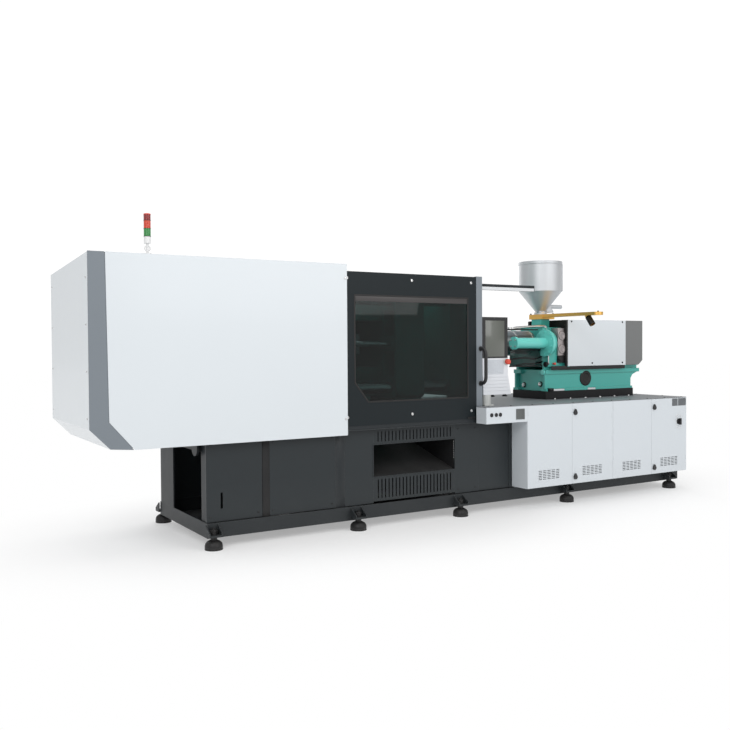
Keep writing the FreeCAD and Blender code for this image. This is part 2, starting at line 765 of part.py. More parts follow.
def cabinet_body():
    y0, y1 = -front_y + leaf + gap, -cabinet_back
    shell = box(cabinet_x0, cabinet_x1, y0, y1, cabinet_z0, deck_z0)
    bays = []
    edge = 22.0
    for i in range(4):
        x0 = seams[i] + (sheet if i == 0 else edge / 2)
        x1 = seams[i + 1] - (sheet if i == 3 else edge / 2)
        bays.append(box(x0 + edge, x1 - edge, y0 - 1, y0 + 10, cabinet_z0 + edge, deck_z0 - edge))
    room = box(cabinet_x0 + sheet, cabinet_x1 - sheet, y0 + sheet, y1 - sheet, cabinet_z0 + sheet,
               deck_z0 - sheet)
    shell = shell.cut(Part.makeCompound(bays + [room]))
    rest = box(cabinet_x0 + 20, cabinet_x1 - 7, -tray_half_width, -tray_half_width + 25, tray_z1,
               cabinet_z0)
    cleat = box(cabinet_x0 + 100, cabinet_x1 - 100, -cabinet_back, -bay_y1, deck_z0 - 60, deck_z0 - sheet)
    wide = box(box_x0, cabinet_x0, -front_y, -box_back, box_z0, deck_z0)
    deep = box(rail_end_x, cabinet_x0, -box_back, -beam_y1 - 20, box_z0, deck_z0)
    inner_wide = box(box_x0 + sheet, cabinet_x0 - sheet, -front_y + sheet, -box_back, box_z0 + sheet,
                     deck_z0 - sheet)
    inner_deep = box(rail_end_x + sheet, cabinet_x0 - sheet, -box_back - sheet, -beam_y1 - 20 - sheet,
                     box_z0 + sheet, deck_z0 - sheet)
    back_strip = box(box_x0 + sheet, rail_end_x + sheet, -box_back - sheet, -box_back, box_z0, deck_z0)
    operator_box = fuse([wide, deep]).cut(fuse([inner_wide, inner_deep]).cut(back_strip))
    sockets = [rod_y(-front_y - 1, -front_y + sheet + 1, x, 931, socket_radius) for x in socket_xs]
    grid = []
    for i in range(9):
        x = 678 + 11 * i
        grid.append(box(x, x + 6, -front_y - 1, -front_y + sheet + 1, 882, 976))
    operator_box = operator_box.cut(Part.makeCompound(sockets + grid))
    return fuse([shell, rest, cleat, operator_box])


def cabinet_door(index):
    x0, x1 = seams[index] + 1, seams[index + 1] - 1
    z0, z1 = cabinet_z0 + 2, deck_z0 - 2
    y0, y1 = -front_y, -front_y + leaf
    body = box(x0, x1, y0, y1, z0, z1)
    body = body.cut(box(x0 + 15, x1 - 15, y0 + 2, y1 + 1, z0 + 15, z1 - 15))
    cuts = []
    vent_x0 = x0 + 140
    for i in range(5):
        for j in range(6):
            x = vent_x0 + 56 * i
            z = 282 + 16 * j
            cuts.append(box(x, x + 44, y0 - 1, y0 + 3, z, z + 6))
    if index in (1, 3):
        boss_x = x0 + 38
        lugs = [rod_y(y0 + 1, y1, boss_x, z, 16) for z in (latch_z_low, latch_z_high)]
        body = fuse([body] + lugs)
        cuts += [rod_y(y0 - 1, y1 + 1, boss_x, z, latch_pin + fit) for z in (latch_z_low, latch_z_high)]
    if index == 3:
        body = fuse([body, rod_y(y0 + 1, y1, isolator_x, isolator_z, 16)])
        cuts.append(rod_y(y0 - 1, y1 + 1, isolator_x, isolator_z, latch_pin + fit))
    return body.cut(Part.makeCompound(cuts))


def latch(index, z):
    # drop-shaped swing handle, its point upwards
    x = seams[index] + 39
    y1 = -front_y - gap
    y0 = y1 - 15
    hub = rod_y(y0, y1, x, z - 13, 22)
    tail = prism_y([(x - 21, z - 8), (x + 21, z - 8), (x + 7, z + 19), (x - 7, z + 19)], y0, y1)
    tip = rod_y(y0, y1, x, z + 16, 8)
    pin = rod_y(y1, -front_y + leaf - 1, x, z, latch_pin)
    return fuse([hub, tail, tip, pin])


def isolator_switch():
    y1 = -front_y - gap
    disc = rod_y(y1 - 14, y1, isolator_x, isolator_z, 30)
    bar = box(isolator_x - 8, isolator_x + 8, y1 - 36, y1 - 14, isolator_z - 34, isolator_z + 34)
    pin = rod_y(y1, -front_y + leaf - 1, isolator_x, isolator_z, latch_pin)
    return fuse([disc, bar, pin])


def deck_plate():
    z0, z1 = deck_z0, deck_z0 + deck_thickness
    main = box(rail_end_x + 60, cabinet_x1, -front_y, rear_y, z0, z1)
    nose = box(rail_end_x, rail_end_x + 60, -front_y, -beam_y1 - 20, z0, z1)
    tongue = box(box_x0, rail_end_x, -front_y, -box_back, z0, z1)
    tie_bar_room = box(rail_end_x, rail_end_x + 70, -platen_half - 10, platen_half + 10, z0 - 1, z1 + 1)
    return fuse([main, nose, tongue]).cut(tie_bar_room)


# ---- injection unit ----

def plinth():
    z0 = deck_z0 + deck_thickness
    body = box(plinth_x0, plinth_x1, -plinth_y, plinth_y, z0, plinth_z1)
    return body.cut(box(plinth_x0 + 25, plinth_x1 - 25, -plinth_y + 25, plinth_y - 25, z0 - 1,
                        plinth_z1 + 1))


def carriage_bed():
    z0 = plinth_z1
    web_outline = [(bed_x0, z0), (bed_x1, z0), (bed_x1, z0 + 110), (bed_x1 + 30, bed_z1 - 70),
                   (bed_top_x1 - 20, bed_z1 - 40), (bed_top_x1, bed_z1 - 40), (bed_top_x1,
                                                                               bed_z1), (bed_x0, bed_z1)]
    web = prism_y(web_outline, -bed_y + 15, -bed_y + 40)
    notches = [box(x0, x1, -bed_y - 20, -bed_y + 80, z0 - 1, z0 + 22) for x0,
               x1 in ((1640, 1810), (2155, 2270))]
    hole = rod_y(-bed_y, -bed_y + 60, 2140, 1216, 80)
    flange = box(bed_x0, bed_top_x1, -bed_y, -bed_y + 110, bed_z1 - 40, bed_z1)
    foot = box(bed_x0, bed_x1, -bed_y - 8, -bed_y + 70, z0, z0 + 24)
    side = fuse([web, flange, foot]).cut(Part.makeCompound(notches + [hole]))
    track = box(bed_x0 + 10, bed_top_x1 - 10, -bed_y + 30, -bed_y + 62, bed_z1, bed_z1 + track_height)
    ribs = [box(x, x + 25, -bed_y + 20, bed_y - 20, z0, bed_z1) for x in (bed_x0 + 40, 2000, bed_x1 - 25)]
    return fuse(both_sides(side) + both_sides(track) + ribs)


def injection_housing():
    z0 = bed_z1 + track_height + gap
    z1 = z0 + 40
    x0, x1 = housing_block_x0, housing_block_x1
    beam_end = hood_end_x - 72
    wide = hood_y - sheet
    parts = both_sides(box(x0, beam_end, -carriage_y, -carriage_y + carriage_beam, z0, z1))
    parts.append(box(hood_x0 + 2, x1, -wide, wide, z0, z1))
    parts.append(box(beam_end - 40, beam_end, -wide, wide, z0, z1))
    parts.append(box(x0, x1, -170, 170, z0, axis_z + 165))
    foot = box(x0, x0 + housing_foot, -side_axis_y, -150, z0, axis_z)
    wing = rod_x(x0 - 20, x0 + wing_length, -side_axis_y, axis_z, wing_radius)
    parts += both_sides(foot) + both_sides(wing)
    parts.append(box(throat_x - neck_half_x, throat_x + neck_half_x, -neck_half_y, neck_half_y,
                     axis_z + 150, throat_top))
    holes = [rod_x(x0 - 40, x1 + 1, 0, axis_z, barrel_radius + fit),
             rod_z(axis_z, throat_top + 1, throat_x, 0, hopper_outlet)]
    holes += [rod_x(x0 - 40, x1 + 1, sy * side_axis_y, axis_z, side_rod + 1) for sy in (-1, 1)]
    return fuse(parts).cut(Part.makeCompound(holes))


def injection_cylinders():
    x1 = housing_block_x0 - 20
    x0 = side_x0
    outline = [(x0, 0), (x0, 65), (x0 + 30, 65), (x0 + 30, side_tube), (x1 - 30, side_tube), (x1 - 30, 140),
               (x1, 140), (x1, side_rod + fit), (x1 - 40, side_rod + fit), (x1 - 40, side_bore),
               (x0 + 15, side_bore), (x0 + 15, 0)]
    return Part.makeCompound([revolve_x(outline, sy * side_axis_y, axis_z) for sy in (-1, 1)])


def barrel():
    outline = [(nozzle_x, 8), (nozzle_x, 14), (nozzle_x + 12, 22), (nozzle_x + 110, 22),
               (nozzle_x + 130, 40),
               (barrel_x0, 58), (barrel_x0, barrel_radius), (housing_block_x1, barrel_radius),
               (housing_block_x1, screw_bore + fit), (barrel_x0, screw_bore + fit), (nozzle_x + 130, 8)]
    tube = revolve_x(outline, 0, axis_z)
    return tube.cut(rod_z(axis_z, axis_z + barrel_radius + 1, throat_x, 0, hopper_outlet - 8))


def barrel_guard():
    x0, x1 = guard_x0, housing_block_x0 - 55
    outline = [(x0, barrel_radius + fit), (x0, guard_radius), (x1, guard_radius), (x1, barrel_radius + fit),
               (x1 - 4, barrel_radius + fit), (x1 - 4, guard_radius - sheet), (x0 + 4,
                                                                               guard_radius - sheet),
               (x0 + 4, barrel_radius + fit)]
    return revolve_x(outline, 0, axis_z)


def screw():
    root = 19.0
    x0 = barrel_x0 + 60
    x1 = housing_block_x1 - 60
    tip = revolve_x([(x0 - 60, 0), (x0, screw_bore - 4), (x0, 0)], 0, axis_z)
    core = rod_x(x0, x1, 0, axis_z, root)
    pitch = 2 * screw_bore
    collars = []
    turns = int((x1 - x0) / pitch)
    for i in range(turns + 1):
        x = x0 + pitch * i
        collars.append(rod_x(x, x + 6, 0, axis_z, screw_bore))
    seal = rod_x(x1, x1 + 60, 0, axis_z, screw_bore)
    shaft = rod_x(x1 + 60, drive_x1 - 5, 0, axis_z, screw_shaft)
    return fuse([tip, core, seal, shaft] + collars)


def screw_drive():
    plate = box(drive_x0, drive_x1, -hood_y + 18, hood_y - 18, axis_z - 190, axis_z + 170)
    motor = revolve_x([(drive_x1, 60), (drive_x1, 150), (drive_x1 + 40, 150), (drive_x1 + 40, 120),
                       (drive_x1 + 340, 120), (drive_x1 + 360, 100), (drive_x1 + 360,
                                                                      0), (drive_x1 + 30, 0),
                       (drive_x1 + 30, 60)], 0, axis_z)
    rods = []
    for sy in (-1, 1):
        piston = side_x0 + 50
        rods.append(rod_x(piston + 30, drive_x0 + 40, sy * side_axis_y, axis_z, side_rod))
        rods.append(rod_x(piston, piston + 30, sy * side_axis_y, axis_z, side_bore - fit))
    z0 = bed_z1 + track_height + gap + 40 + gap
    skids = both_sides(box(drive_x0, drive_x1, -hood_y + 18, -hood_y + 110, z0, axis_z - 180))
    body = fuse([plate, motor] + rods + skids)
    return body.cut(rod_x(drive_x0 - 1, drive_x1 + 1, 0, axis_z, screw_shaft + fit))


def hood_shell(x0, x1, outline_cut):
    outer = box(x0, x1, -hood_y, hood_y, hood_z0, hood_z1)
    return outer.cut(outline_cut)


def injection_cover():
    inner = box(hood_x0 - 1, hood_x1 + 1, -hood_y + sheet, hood_y - sheet, hood_z0 - 1, hood_z1 - sheet)
    return hood_shell(hood_x0, hood_x1, inner)


def injection_end_cover():
    x0, x1 = hood_x1 + 2, hood_end_x
    outline = [(x0, hood_z0), (x1 - 62, hood_z0), (x1, hood_z0 + 50), (x1, hood_z1), (x0, hood_z1)]
    outer = prism_y(outline, -hood_y, hood_y)
    s = sheet
    room = [(x0 - 1, hood_z0 - 1), (x1 - 62 - s, hood_z0 - 1), (x1 - 62 - s, hood_z0 + s),
            (x1 - s, hood_z0 + 50 + s), (x1 - s, hood_z1 - s), (x0 - 1, hood_z1 - s)]
    return outer.cut(prism_y(room, -hood_y + s, hood_y - s))


def hopper_slide():
    base = box(slide_x0, slide_x1, -slide_half, slide_half, throat_top, slide_z1)
    arm = box(throat_x - arm_half, throat_x + arm_half, arm_end_y, -slide_half, slide_z1 - 32, slide_z1)
    end = rod_z(slide_z1 - 32, slide_z1, throat_x, arm_end_y + arm_half, arm_half)
    arm = arm.cut(box(throat_x - arm_half, throat_x + arm_half, arm_end_y, arm_end_y + arm_half,
                      slide_z1 - 33, slide_z1 + 1))
    drain_y = -680.0
    lean = V(0, -70, -92)
    top = V(throat_x, drain_y, slide_z1 - 30)
    pipe = Part.makeCylinder(27, lean.Length, top, lean)
    bore = Part.makeCylinder(23, lean.Length + 2, top, lean)
    body = fuse([base, arm, end, pipe.cut(box(0, half_length, -900, 0, slide_z1 - 32, slide_z1 + 50))])
    holes = [rod_z(throat_top - 1, slide_z1 + 1, throat_x, 0, hopper_outlet),
             rod_z(slide_z1 - 40, slide_z1 + 1, throat_x, drain_y, 22), bore]
    return body.cut(Part.makeCompound(holes))


def staves(outline, x, count):
    # a turned ring made of butted staves, the first one centred on +X
    face = Part.Face(Part.makePolygon([V(x + r, 0, z) for r, z in outline + outline[:1]]))
    centre = V(x, 0, 0)
    step = 360.0 / count
    pieces = []
    for i in range(count):
        start = face.copy()
        start.rotate(centre, V(0, 0, 1), (i - 0.5) * step)
        pieces.append(start.revolve(centre, V(0, 0, 1), step))
    return pieces


def hopper():
    x = throat_x
    w = hopper_wall
    r = hopper_radius
    z0, z1, top = hopper_cone_z0, hopper_cone_z1, hopper_top
    collar = [(hopper_outlet - w, slide_z1 + gap), (hopper_outlet + 25, slide_z1 + gap),
              (hopper_outlet + 25, z0), (hopper_outlet - w, z0)]
    cone = [(hopper_outlet - w, z0), (hopper_outlet, z0), (r, z1), (r - w, z1)]
    wall = [(r - w, z1), (r, z1), (r, top), (r - w, top)]
    spout_z = z0 + 70
    spout = rod_x(x + 60, x + 299, 0, spout_z, 22).cut(rod_x(x + 50, x + 300, 0, spout_z, 19))
    spout = spout.cut(revolve_z([(0, z0), (hopper_outlet, z0), (r, z1), (0, z1)], x, 0))
    rings = [staves(outline, x, hopper_staves) for outline in (collar, cone, wall)]
    return Part.makeCompound(sum(rings, []) + [spout])


def hopper_lid():
    x = throat_x
    r = hopper_radius
    top = hopper_top
    plate = revolve_z([(0, top + 8), (40, top + 8), (r - 12, top), (r + 6, top), (r + 5, top + 4),
                       (40, top + 14), (0, top + 14)], x, 0)
    skirt = [(r + gap, top - 20), (r + 6, top - 20), (r + 6, top), (r + gap, top)]
    return Part.makeCompound(staves(skirt, x, hopper_staves) + [plate])


if __name__ == "__main__":
    os.makedirs("parts", exist_ok=True)
    save("base_frame", base_frame())
    save("levelling_feet", levelling_feet())
    save("front_panels", front_panels())
    save("chute_panels", chute_panels())
    save("rear_panels", rear_panels())
    save("drop_chute", drop_chute())
    save("pump_motor", pump_motor())
    save("clamp_cover_front", cover_front())
    save("clamp_cover_rear", cover_rear())
    save("clamp_trim_band", trim_band())
    save("clamp_end_cap", end_cap())
    save("clamp_roof", clamp_roof())
    save("beacon_base", beacon_base())
    save("beacon_lenses", beacon_lenses())
    save("fixed_platen", fixed_platen())
    save("moving_platen", moving_platen())
    save("rear_platen", rear_platen())
    save("tie_bars", tie_bars())
    save("tie_bar_nuts", tie_bar_nuts())
    save("clamp_cylinder", clamp_cylinder())
    save("clamp_ram", clamp_ram())
    save("traverse_cylinders", traverse_cylinders())
    save("traverse_rods", traverse_rods())
    save("ejector", ejector())
    save("front_door_panel", door_panel())
    save("front_door_window", door_window())
    save("front_door_post", door_post())
    save("front_door_handle", door_handle())
    save("rear_door_panel", rear_door_panel())
    save("rear_door_window", rear(door_window()))
    save("door_rails", door_rails())
    save("panel_post", panel_post())
    save("panel_housing", panel_housing())
    save("panel_screen", panel_screen())
    save("panel_keys", panel_keys())
    save("emergency_stop", emergency_stop())
    save("cabinet_body", cabinet_body())
    for i in range(4):
        save("cabinet_door_%d" % (i + 1), cabinet_door(i))
    for name, i, z in (("latch_2_low", 1, latch_z_low), ("latch_2_high", 1, latch_z_high),
                       ("latch_4_low", 3, latch_z_low), ("latch_4_high", 3, latch_z_high)):
        save(name, latch(i, z))
    save("isolator_switch", isolator_switch())
    save("deck_plate", deck_plate())
    save("plinth", plinth())
    save("carriage_bed", carriage_bed())
    save("injection_housing", injection_housing())
    save("injection_cylinders", injection_cylinders())
    save("barrel", barrel())
    save("barrel_guard", barrel_guard())
    save("screw", screw())
    save("screw_drive", screw_drive())
    save("injection_cover", injection_cover())
    save("injection_end_cover", injection_end_cover())
    save("hopper_slide", hopper_slide())
    save("hopper", hopper())
    save("hopper_lid", hopper_lid())
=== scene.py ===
import json
import math

import bmesh
import bpy
from mathutils import Matrix, Vector


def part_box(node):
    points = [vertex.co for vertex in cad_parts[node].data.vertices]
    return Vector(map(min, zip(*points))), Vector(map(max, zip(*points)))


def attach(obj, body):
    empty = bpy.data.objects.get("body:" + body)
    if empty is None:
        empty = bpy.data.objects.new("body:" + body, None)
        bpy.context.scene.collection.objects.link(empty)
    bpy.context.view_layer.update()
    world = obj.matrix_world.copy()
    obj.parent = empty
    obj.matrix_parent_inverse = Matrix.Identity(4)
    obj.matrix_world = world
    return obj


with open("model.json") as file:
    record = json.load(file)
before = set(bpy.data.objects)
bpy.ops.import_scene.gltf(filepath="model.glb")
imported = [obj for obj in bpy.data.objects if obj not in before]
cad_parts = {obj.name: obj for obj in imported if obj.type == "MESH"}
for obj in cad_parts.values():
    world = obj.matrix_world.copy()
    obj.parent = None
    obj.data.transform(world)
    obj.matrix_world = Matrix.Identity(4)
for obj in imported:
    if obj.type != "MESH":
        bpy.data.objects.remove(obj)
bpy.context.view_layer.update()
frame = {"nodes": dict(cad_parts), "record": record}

nodes = frame["nodes"]

# helpers for selecting, settling and copying


def deselectAll():
    bpy.ops.object.select_all(action="DESELECT")


def makeActive(piece):
    deselectAll()
    piece.select_set(True)
    bpy.context.view_layer.objects.active = piece


def startEdit(piece, mode="FACE"):
    makeActive(piece)
    bpy.ops.object.mode_set(mode="EDIT")
    bpy.ops.mesh.select_mode(type=mode)


def endEdit():
    bpy.ops.object.mode_set(mode="OBJECT")


def pickFaces(piece, test):
    bpy.ops.mesh.select_all(action="DESELECT")
    mesh = bmesh.from_edit_mesh(piece.data)
    for face in mesh.faces:
        if test(face):
            face.select_set(True)
    mesh.select_flush_mode()
    bmesh.update_edit_mesh(piece.data)


def pickEdges(piece, test):
    bpy.ops.mesh.select_all(action="DESELECT")
    mesh = bmesh.from_edit_mesh(piece.data)
    for edge in mesh.edges:
        if test(edge):
            edge.select_set(True)
    mesh.select_flush_mode()
    bmesh.update_edit_mesh(piece.data)


def topFace(face):
    return face.normal.z > 0.99


def applyModifier(piece, kind, **settings):
    makeActive(piece)
    modifier = piece.modifiers.new(kind.title(), kind)
    for key, value in settings.items():
        setattr(modifier, key, value)
    bpy.ops.object.modifier_apply(modifier=modifier.name)


def finishPiece(piece, name, body, material, smooth=30):
    makeActive(piece)
    bpy.ops.object.transform_apply(location=True, rotation=True, scale=True)
    bpy.ops.object.shade_smooth_by_angle(angle=math.radians(smooth))
    piece.name = name
    piece.data.name = name
    piece.data.materials.clear()
    piece.data.materials.append(material)
    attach(piece, body)
    return piece


# a matrix that stands a piece made along +Z at a place, pointing along direction
def standAt(place, direction=(0, 0, 1), spin=0.0):
    turn = Vector((0, 0, 1)).rotation_difference(Vector(direction)).to_matrix().to_4x4()
    return Matrix.Translation(Vector(place)) @ turn @ Matrix.Rotation(spin, 4, "Z")


def repeatPiece(master, places):
    copies = []
    for place in places:
        copy = master.copy()
        copy.data = master.data.copy()
        copy.matrix_world = place
        bpy.context.collection.objects.link(copy)
        copies.append(copy)
    bpy.data.objects.remove(master)
    deselectAll()
    for copy in copies:
        copy.select_set(True)
    bpy.context.view_layer.objects.active = copies[0]
    bpy.ops.object.join()
    return bpy.context.view_layer.objects.active


# shapes built up from a primitive

# a block from corner to corner with its edges bevelled
def softBlock(low, high, edge=0.003, segments=2):
    deselectAll()
    low, high = Vector(low), Vector(high)
    bpy.ops.mesh.primitive_cube_add(size=1, location=(low + high) / 2, scale=high - low)
    piece = bpy.context.object
    makeActive(piece)
    bpy.ops.object.transform_apply(location=True, rotation=True, scale=True)
    startEdit(piece, "EDGE")
    bpy.ops.mesh.select_all(action="SELECT")
    bpy.ops.mesh.bevel(offset=edge, segments=segments, affect="EDGES")
    endEdit()
    return piece


# a turned piece along +Z from the origin: each step is (height, radius)
def turnedPiece(steps, sides=48, edge=0.0, segments=2):
    deselectAll()
    firstHeight, firstRadius = steps[0]
    bpy.ops.mesh.primitive_cylinder_add(vertices=sides, radius=firstRadius, depth=firstHeight,
                                        location=(0, 0, firstHeight / 2))
    piece = bpy.context.object
    makeActive(piece)
    bpy.ops.object.transform_apply(location=True, rotation=True, scale=True)
    startEdit(piece)
    z, radius = firstHeight, firstRadius
    for height, nextRadius in steps[1:]:
        pickFaces(piece, lambda face: len(face.verts) == sides and face.calc_center_median().z > z - 1e-5)
        bpy.ops.mesh.extrude_region_move(TRANSFORM_OT_translate={"value": (0, 0, height)})
        ratio = nextRadius / radius
        if height == 0:
            bpy.ops.transform.resize(value=(ratio, ratio, 1), center_override=(0, 0, z))
        elif abs(ratio - 1) > 1e-6:
            bpy.ops.transform.resize(value=(ratio, ratio, 1), center_override=(0, 0, z + height))
        z += height
        radius = nextRadius
    bpy.ops.mesh.select_all(action="SELECT")
    bpy.ops.mesh.remove_doubles(threshold=1e-6)
    bpy.ops.mesh.normals_make_consistent(inside=False)
    if edge:
        pickEdges(piece, lambda e: len(e.link_faces) == 2 and e.calc_face_angle(0) > math.radians(50))
        bpy.ops.mesh.bevel(offset=edge, segments=segments, affect="EDGES")
    endEdit()
    return piece


# a cap screw with a hexagon socket, standing along +Z
def capScrew(radius, height):
    deselectAll()
    bpy.ops.mesh.primitive_cylinder_add(vertices=18, radius=radius, depth=height, location=(0, 0, height / 2))
    piece = bpy.context.object
    makeActive(piece)
    bpy.ops.object.transform_apply(location=True, rotation=True, scale=True)
    startEdit(piece)
    pickFaces(piece, topFace)
    bpy.ops.mesh.bevel(offset=radius * 0.16, segments=2, affect="EDGES")
    pickFaces(piece, lambda face: topFace(face) and face.calc_center_median().z > height * 0.98)
    bpy.ops.mesh.inset(thickness=radius * 0.32)
    bpy.ops.mesh.extrude_region_move(TRANSFORM_OT_translate={"value": (0, 0, -height * 0.6)})
    endEdit()
    return piece


# a hexagon nut or bolt head, standing along +Z
def hexHead(radius, height):
    deselectAll()
    bpy.ops.mesh.primitive_cylinder_add(vertices=6, radius=radius, depth=height, location=(0, 0, height / 2))
    piece = bpy.context.object
    makeActive(piece)
    bpy.ops.object.transform_apply(location=True, rotation=True, scale=True)
    startEdit(piece)
    pickFaces(piece, topFace)
    bpy.ops.mesh.inset(thickness=radius * 0.14)
    bpy.ops.transform.translate(value=(0, 0, height * 0.1))
    pickFaces(piece, lambda face: abs(face.normal.z) < 0.2)
    bpy.ops.mesh.bevel(offset=radius * 0.04, segments=1, affect="EDGES")
    endEdit()
    return piece


# a bent pipe through a few given points
def bentPipe(points, radius):
    deselectAll()
    bpy.ops.curve.primitive_nurbs_path_add()
    line = bpy.context.object
    line.data.splines.clear()
    spline = line.data.splines.new("NURBS")
    spline.points.add(len(points) - 1)
    for point, place in zip(spline.points, points):
        point.co = (place[0], place[1], place[2], 1)
    spline.order_u = 3
    spline.use_endpoint_u = True
    spline.resolution_u = 10
    line.data.dimensions = "3D"
    line.data.bevel_depth = radius
    line.data.bevel_resolution = 4
    line.data.use_fill_caps = True
    makeActive(line)
    bpy.ops.object.convert(target="MESH")
    return bpy.context.object


# shader groups that several materials share


def newGroup(name, inputs, outputs):
    group = bpy.data.node_groups.new(name, "ShaderNodeTree")
    for label, kind, value in inputs:
        socket = group.interface.new_socket(label, in_out="INPUT", socket_type=kind)
        socket.default_value = value
    for label, kind in outputs:
        group.interface.new_socket(label, in_out="OUTPUT", socket_type=kind)
    return group, group.nodes.new("NodeGroupInput"), group.nodes.new("NodeGroupOutput")


def addNode(tree, kind, settings=None, **values):
    node = tree.nodes.new(kind)
    for key, value in (settings or {}).items():
        setattr(node, key, value)
    for key, value in values.items():
        node.inputs[key].default_value = value
    return node


def mathNode(tree, operation, first, second=None, third=None):
    node = tree.nodes.new("ShaderNodeMath")
    node.operation = operation
    for i, value in enumerate((first, second, third)):
        if value is None:
            continue
        if isinstance(value, (int, float)):
            node.inputs[i].default_value = value
        else:
            tree.links.new(value, node.inputs[i])
    return node.outputs[0]


def mixColour(tree, factor, first, second, blend="MIX"):
    node = tree.nodes.new("ShaderNodeMix")
    node.data_type = "RGBA"
    node.blend_type = blend
    for socket, value in ((node.inputs[0], factor), (node.inputs[6], first), (node.inputs[7], second)):
        if isinstance(value, (int, float, tuple)):
            socket.default_value = value
        else:
            tree.links.new(value, socket)
    return node.outputs[2]


# sprayed coat: orange peel, faint mottling and a little change in gloss
def buildPaintCoat():
    inputs = [("Colour", "NodeSocketColor", (0.8, 0.8, 0.8, 1)), ("Mottle", "NodeSocketFloat", 0.04),
              ("Peel", "NodeSocketFloat", 420.0), ("Roughness", "NodeSocketFloat", 0.35),
              ("Gloss change", "NodeSocketFloat", 0.08)]
    outputs = [("Colour", "NodeSocketColor"), ("Roughness", "NodeSocketFloat"), ("Height", "NodeSocketFloat")]
    group, start, end = newGroup("paintCoat", inputs, outputs)
    place = addNode(group, "ShaderNodeTexCoord")
    cloud = addNode(group, "ShaderNodeTexNoise", Scale=1.7, Detail=4.0)
    fine = addNode(group, "ShaderNodeTexNoise", Detail=1.0)
    smear = addNode(group, "ShaderNodeTexNoise", Scale=9.0, Detail=3.0)
    for node in (cloud, fine, smear):
        group.links.new(place.outputs["Object"], node.inputs["Vector"])
    group.links.new(start.outputs["Peel"], fine.inputs["Scale"])
    shade = mathNode(group, "MULTIPLY_ADD", cloud.outputs["Fac"], start.outputs["Mottle"], 1.0)
    low = mathNode(group, "MULTIPLY_ADD", start.outputs["Mottle"], -0.5, shade)
    grey = addNode(group, "ShaderNodeCombineColor")
    for channel in ("Red", "Green", "Blue"):
        group.links.new(low, grey.inputs[channel])
    group.links.new(mixColour(group, 1.0, start.outputs["Colour"], grey.outputs[0], "MULTIPLY"), end.inputs["Colour"])
    change = mathNode(group, "MULTIPLY", mathNode(group, "SUBTRACT", smear.outputs["Fac"], 0.5),
                      start.outputs["Gloss change"])
    group.links.new(mathNode(group, "ADD", start.outputs["Roughness"], change), end.inputs["Roughness"])
    group.links.new(fine.outputs["Fac"], end.inputs["Height"])
    return group


# rounded edges and a worn-edge mask
def buildEdgeRound():
    inputs = [("Radius", "NodeSocketFloat", 0.002), ("Spread", "NodeSocketFloat", 18.0)]
    outputs = [("Normal", "NodeSocketVector"), ("Edge", "NodeSocketFloat")]
    group, start, end = newGroup("edgeRound", inputs, outputs)
    bevel = addNode(group, "ShaderNodeBevel", {"samples": 4})
    group.links.new(start.outputs["Radius"], bevel.inputs["Radius"])
    form = addNode(group, "ShaderNodeNewGeometry")
    dot = addNode(group, "ShaderNodeVectorMath", {"operation": "DOT_PRODUCT"})
    group.links.new(bevel.outputs[0], dot.inputs[0])
    group.links.new(form.outputs["Normal"], dot.inputs[1])
    away = mathNode(group, "SUBTRACT", 1.0, dot.outputs["Value"])
    strong = mathNode(group, "MULTIPLY", away, start.outputs["Spread"])
    rub = addNode(group, "ShaderNodeTexNoise", Scale=35.0, Detail=3.0)
    place = addNode(group, "ShaderNodeTexCoord")
    group.links.new(place.outputs["Object"], rub.inputs["Vector"])
    broken = mathNode(group, "MULTIPLY", strong, rub.outputs["Fac"])
    group.links.new(mathNode(group, "MINIMUM", broken, 1.0), end.inputs["Edge"])
    group.links.new(bevel.outputs[0], end.inputs["Normal"])
    return group


# dust that settles on what faces up and near the floor
def buildDust():
    inputs = [("Colour", "NodeSocketColor", (0.1, 0.1, 0.1, 1)), ("Dust", "NodeSocketColor", (0.42, 0.40, 0.37, 1)),
              ("Amount", "NodeSocketFloat", 0.25), ("Reach", "NodeSocketFloat", 0.5)]
    outputs = [("Colour", "NodeSocketColor"), ("Mask", "NodeSocketFloat")]
    group, start, end = newGroup("settledDust", inputs, outputs)
    place = addNode(group, "ShaderNodeTexCoord")
    split = addNode(group, "ShaderNodeSeparateXYZ")
    group.links.new(place.outputs["Object"], split.inputs[0])
    lowness = mathNode(group, "SUBTRACT", 1.0, mathNode(group, "DIVIDE", split.outputs["Z"], start.outputs["Reach"]))
    lowness = mathNode(group, "MAXIMUM", lowness, 0.0)
    form = addNode(group, "ShaderNodeNewGeometry")
    facing = addNode(group, "ShaderNodeSeparateXYZ")
    group.links.new(form.outputs["Normal"], facing.inputs[0])
    upward = mathNode(group, "MULTIPLY", mathNode(group, "MAXIMUM", facing.outputs["Z"], 0.0), 0.45)
    patchy = addNode(group, "ShaderNodeTexNoise", Scale=6.0, Detail=5.0, Roughness=0.6)
    group.links.new(place.outputs["Object"], patchy.inputs["Vector"])
    mask = mathNode(group, "MULTIPLY", mathNode(group, "ADD", lowness, upward), patchy.outputs["Fac"])
    mask = mathNode(group, "MULTIPLY", mask, start.outputs["Amount"])
    mask = mathNode(group, "MINIMUM", mask, 1.0)
    group.links.new(mixColour(group, mask, start.outputs["Colour"], start.outputs["Dust"]), end.inputs["Colour"])
    group.links.new(mask, end.inputs["Mask"])
    return group


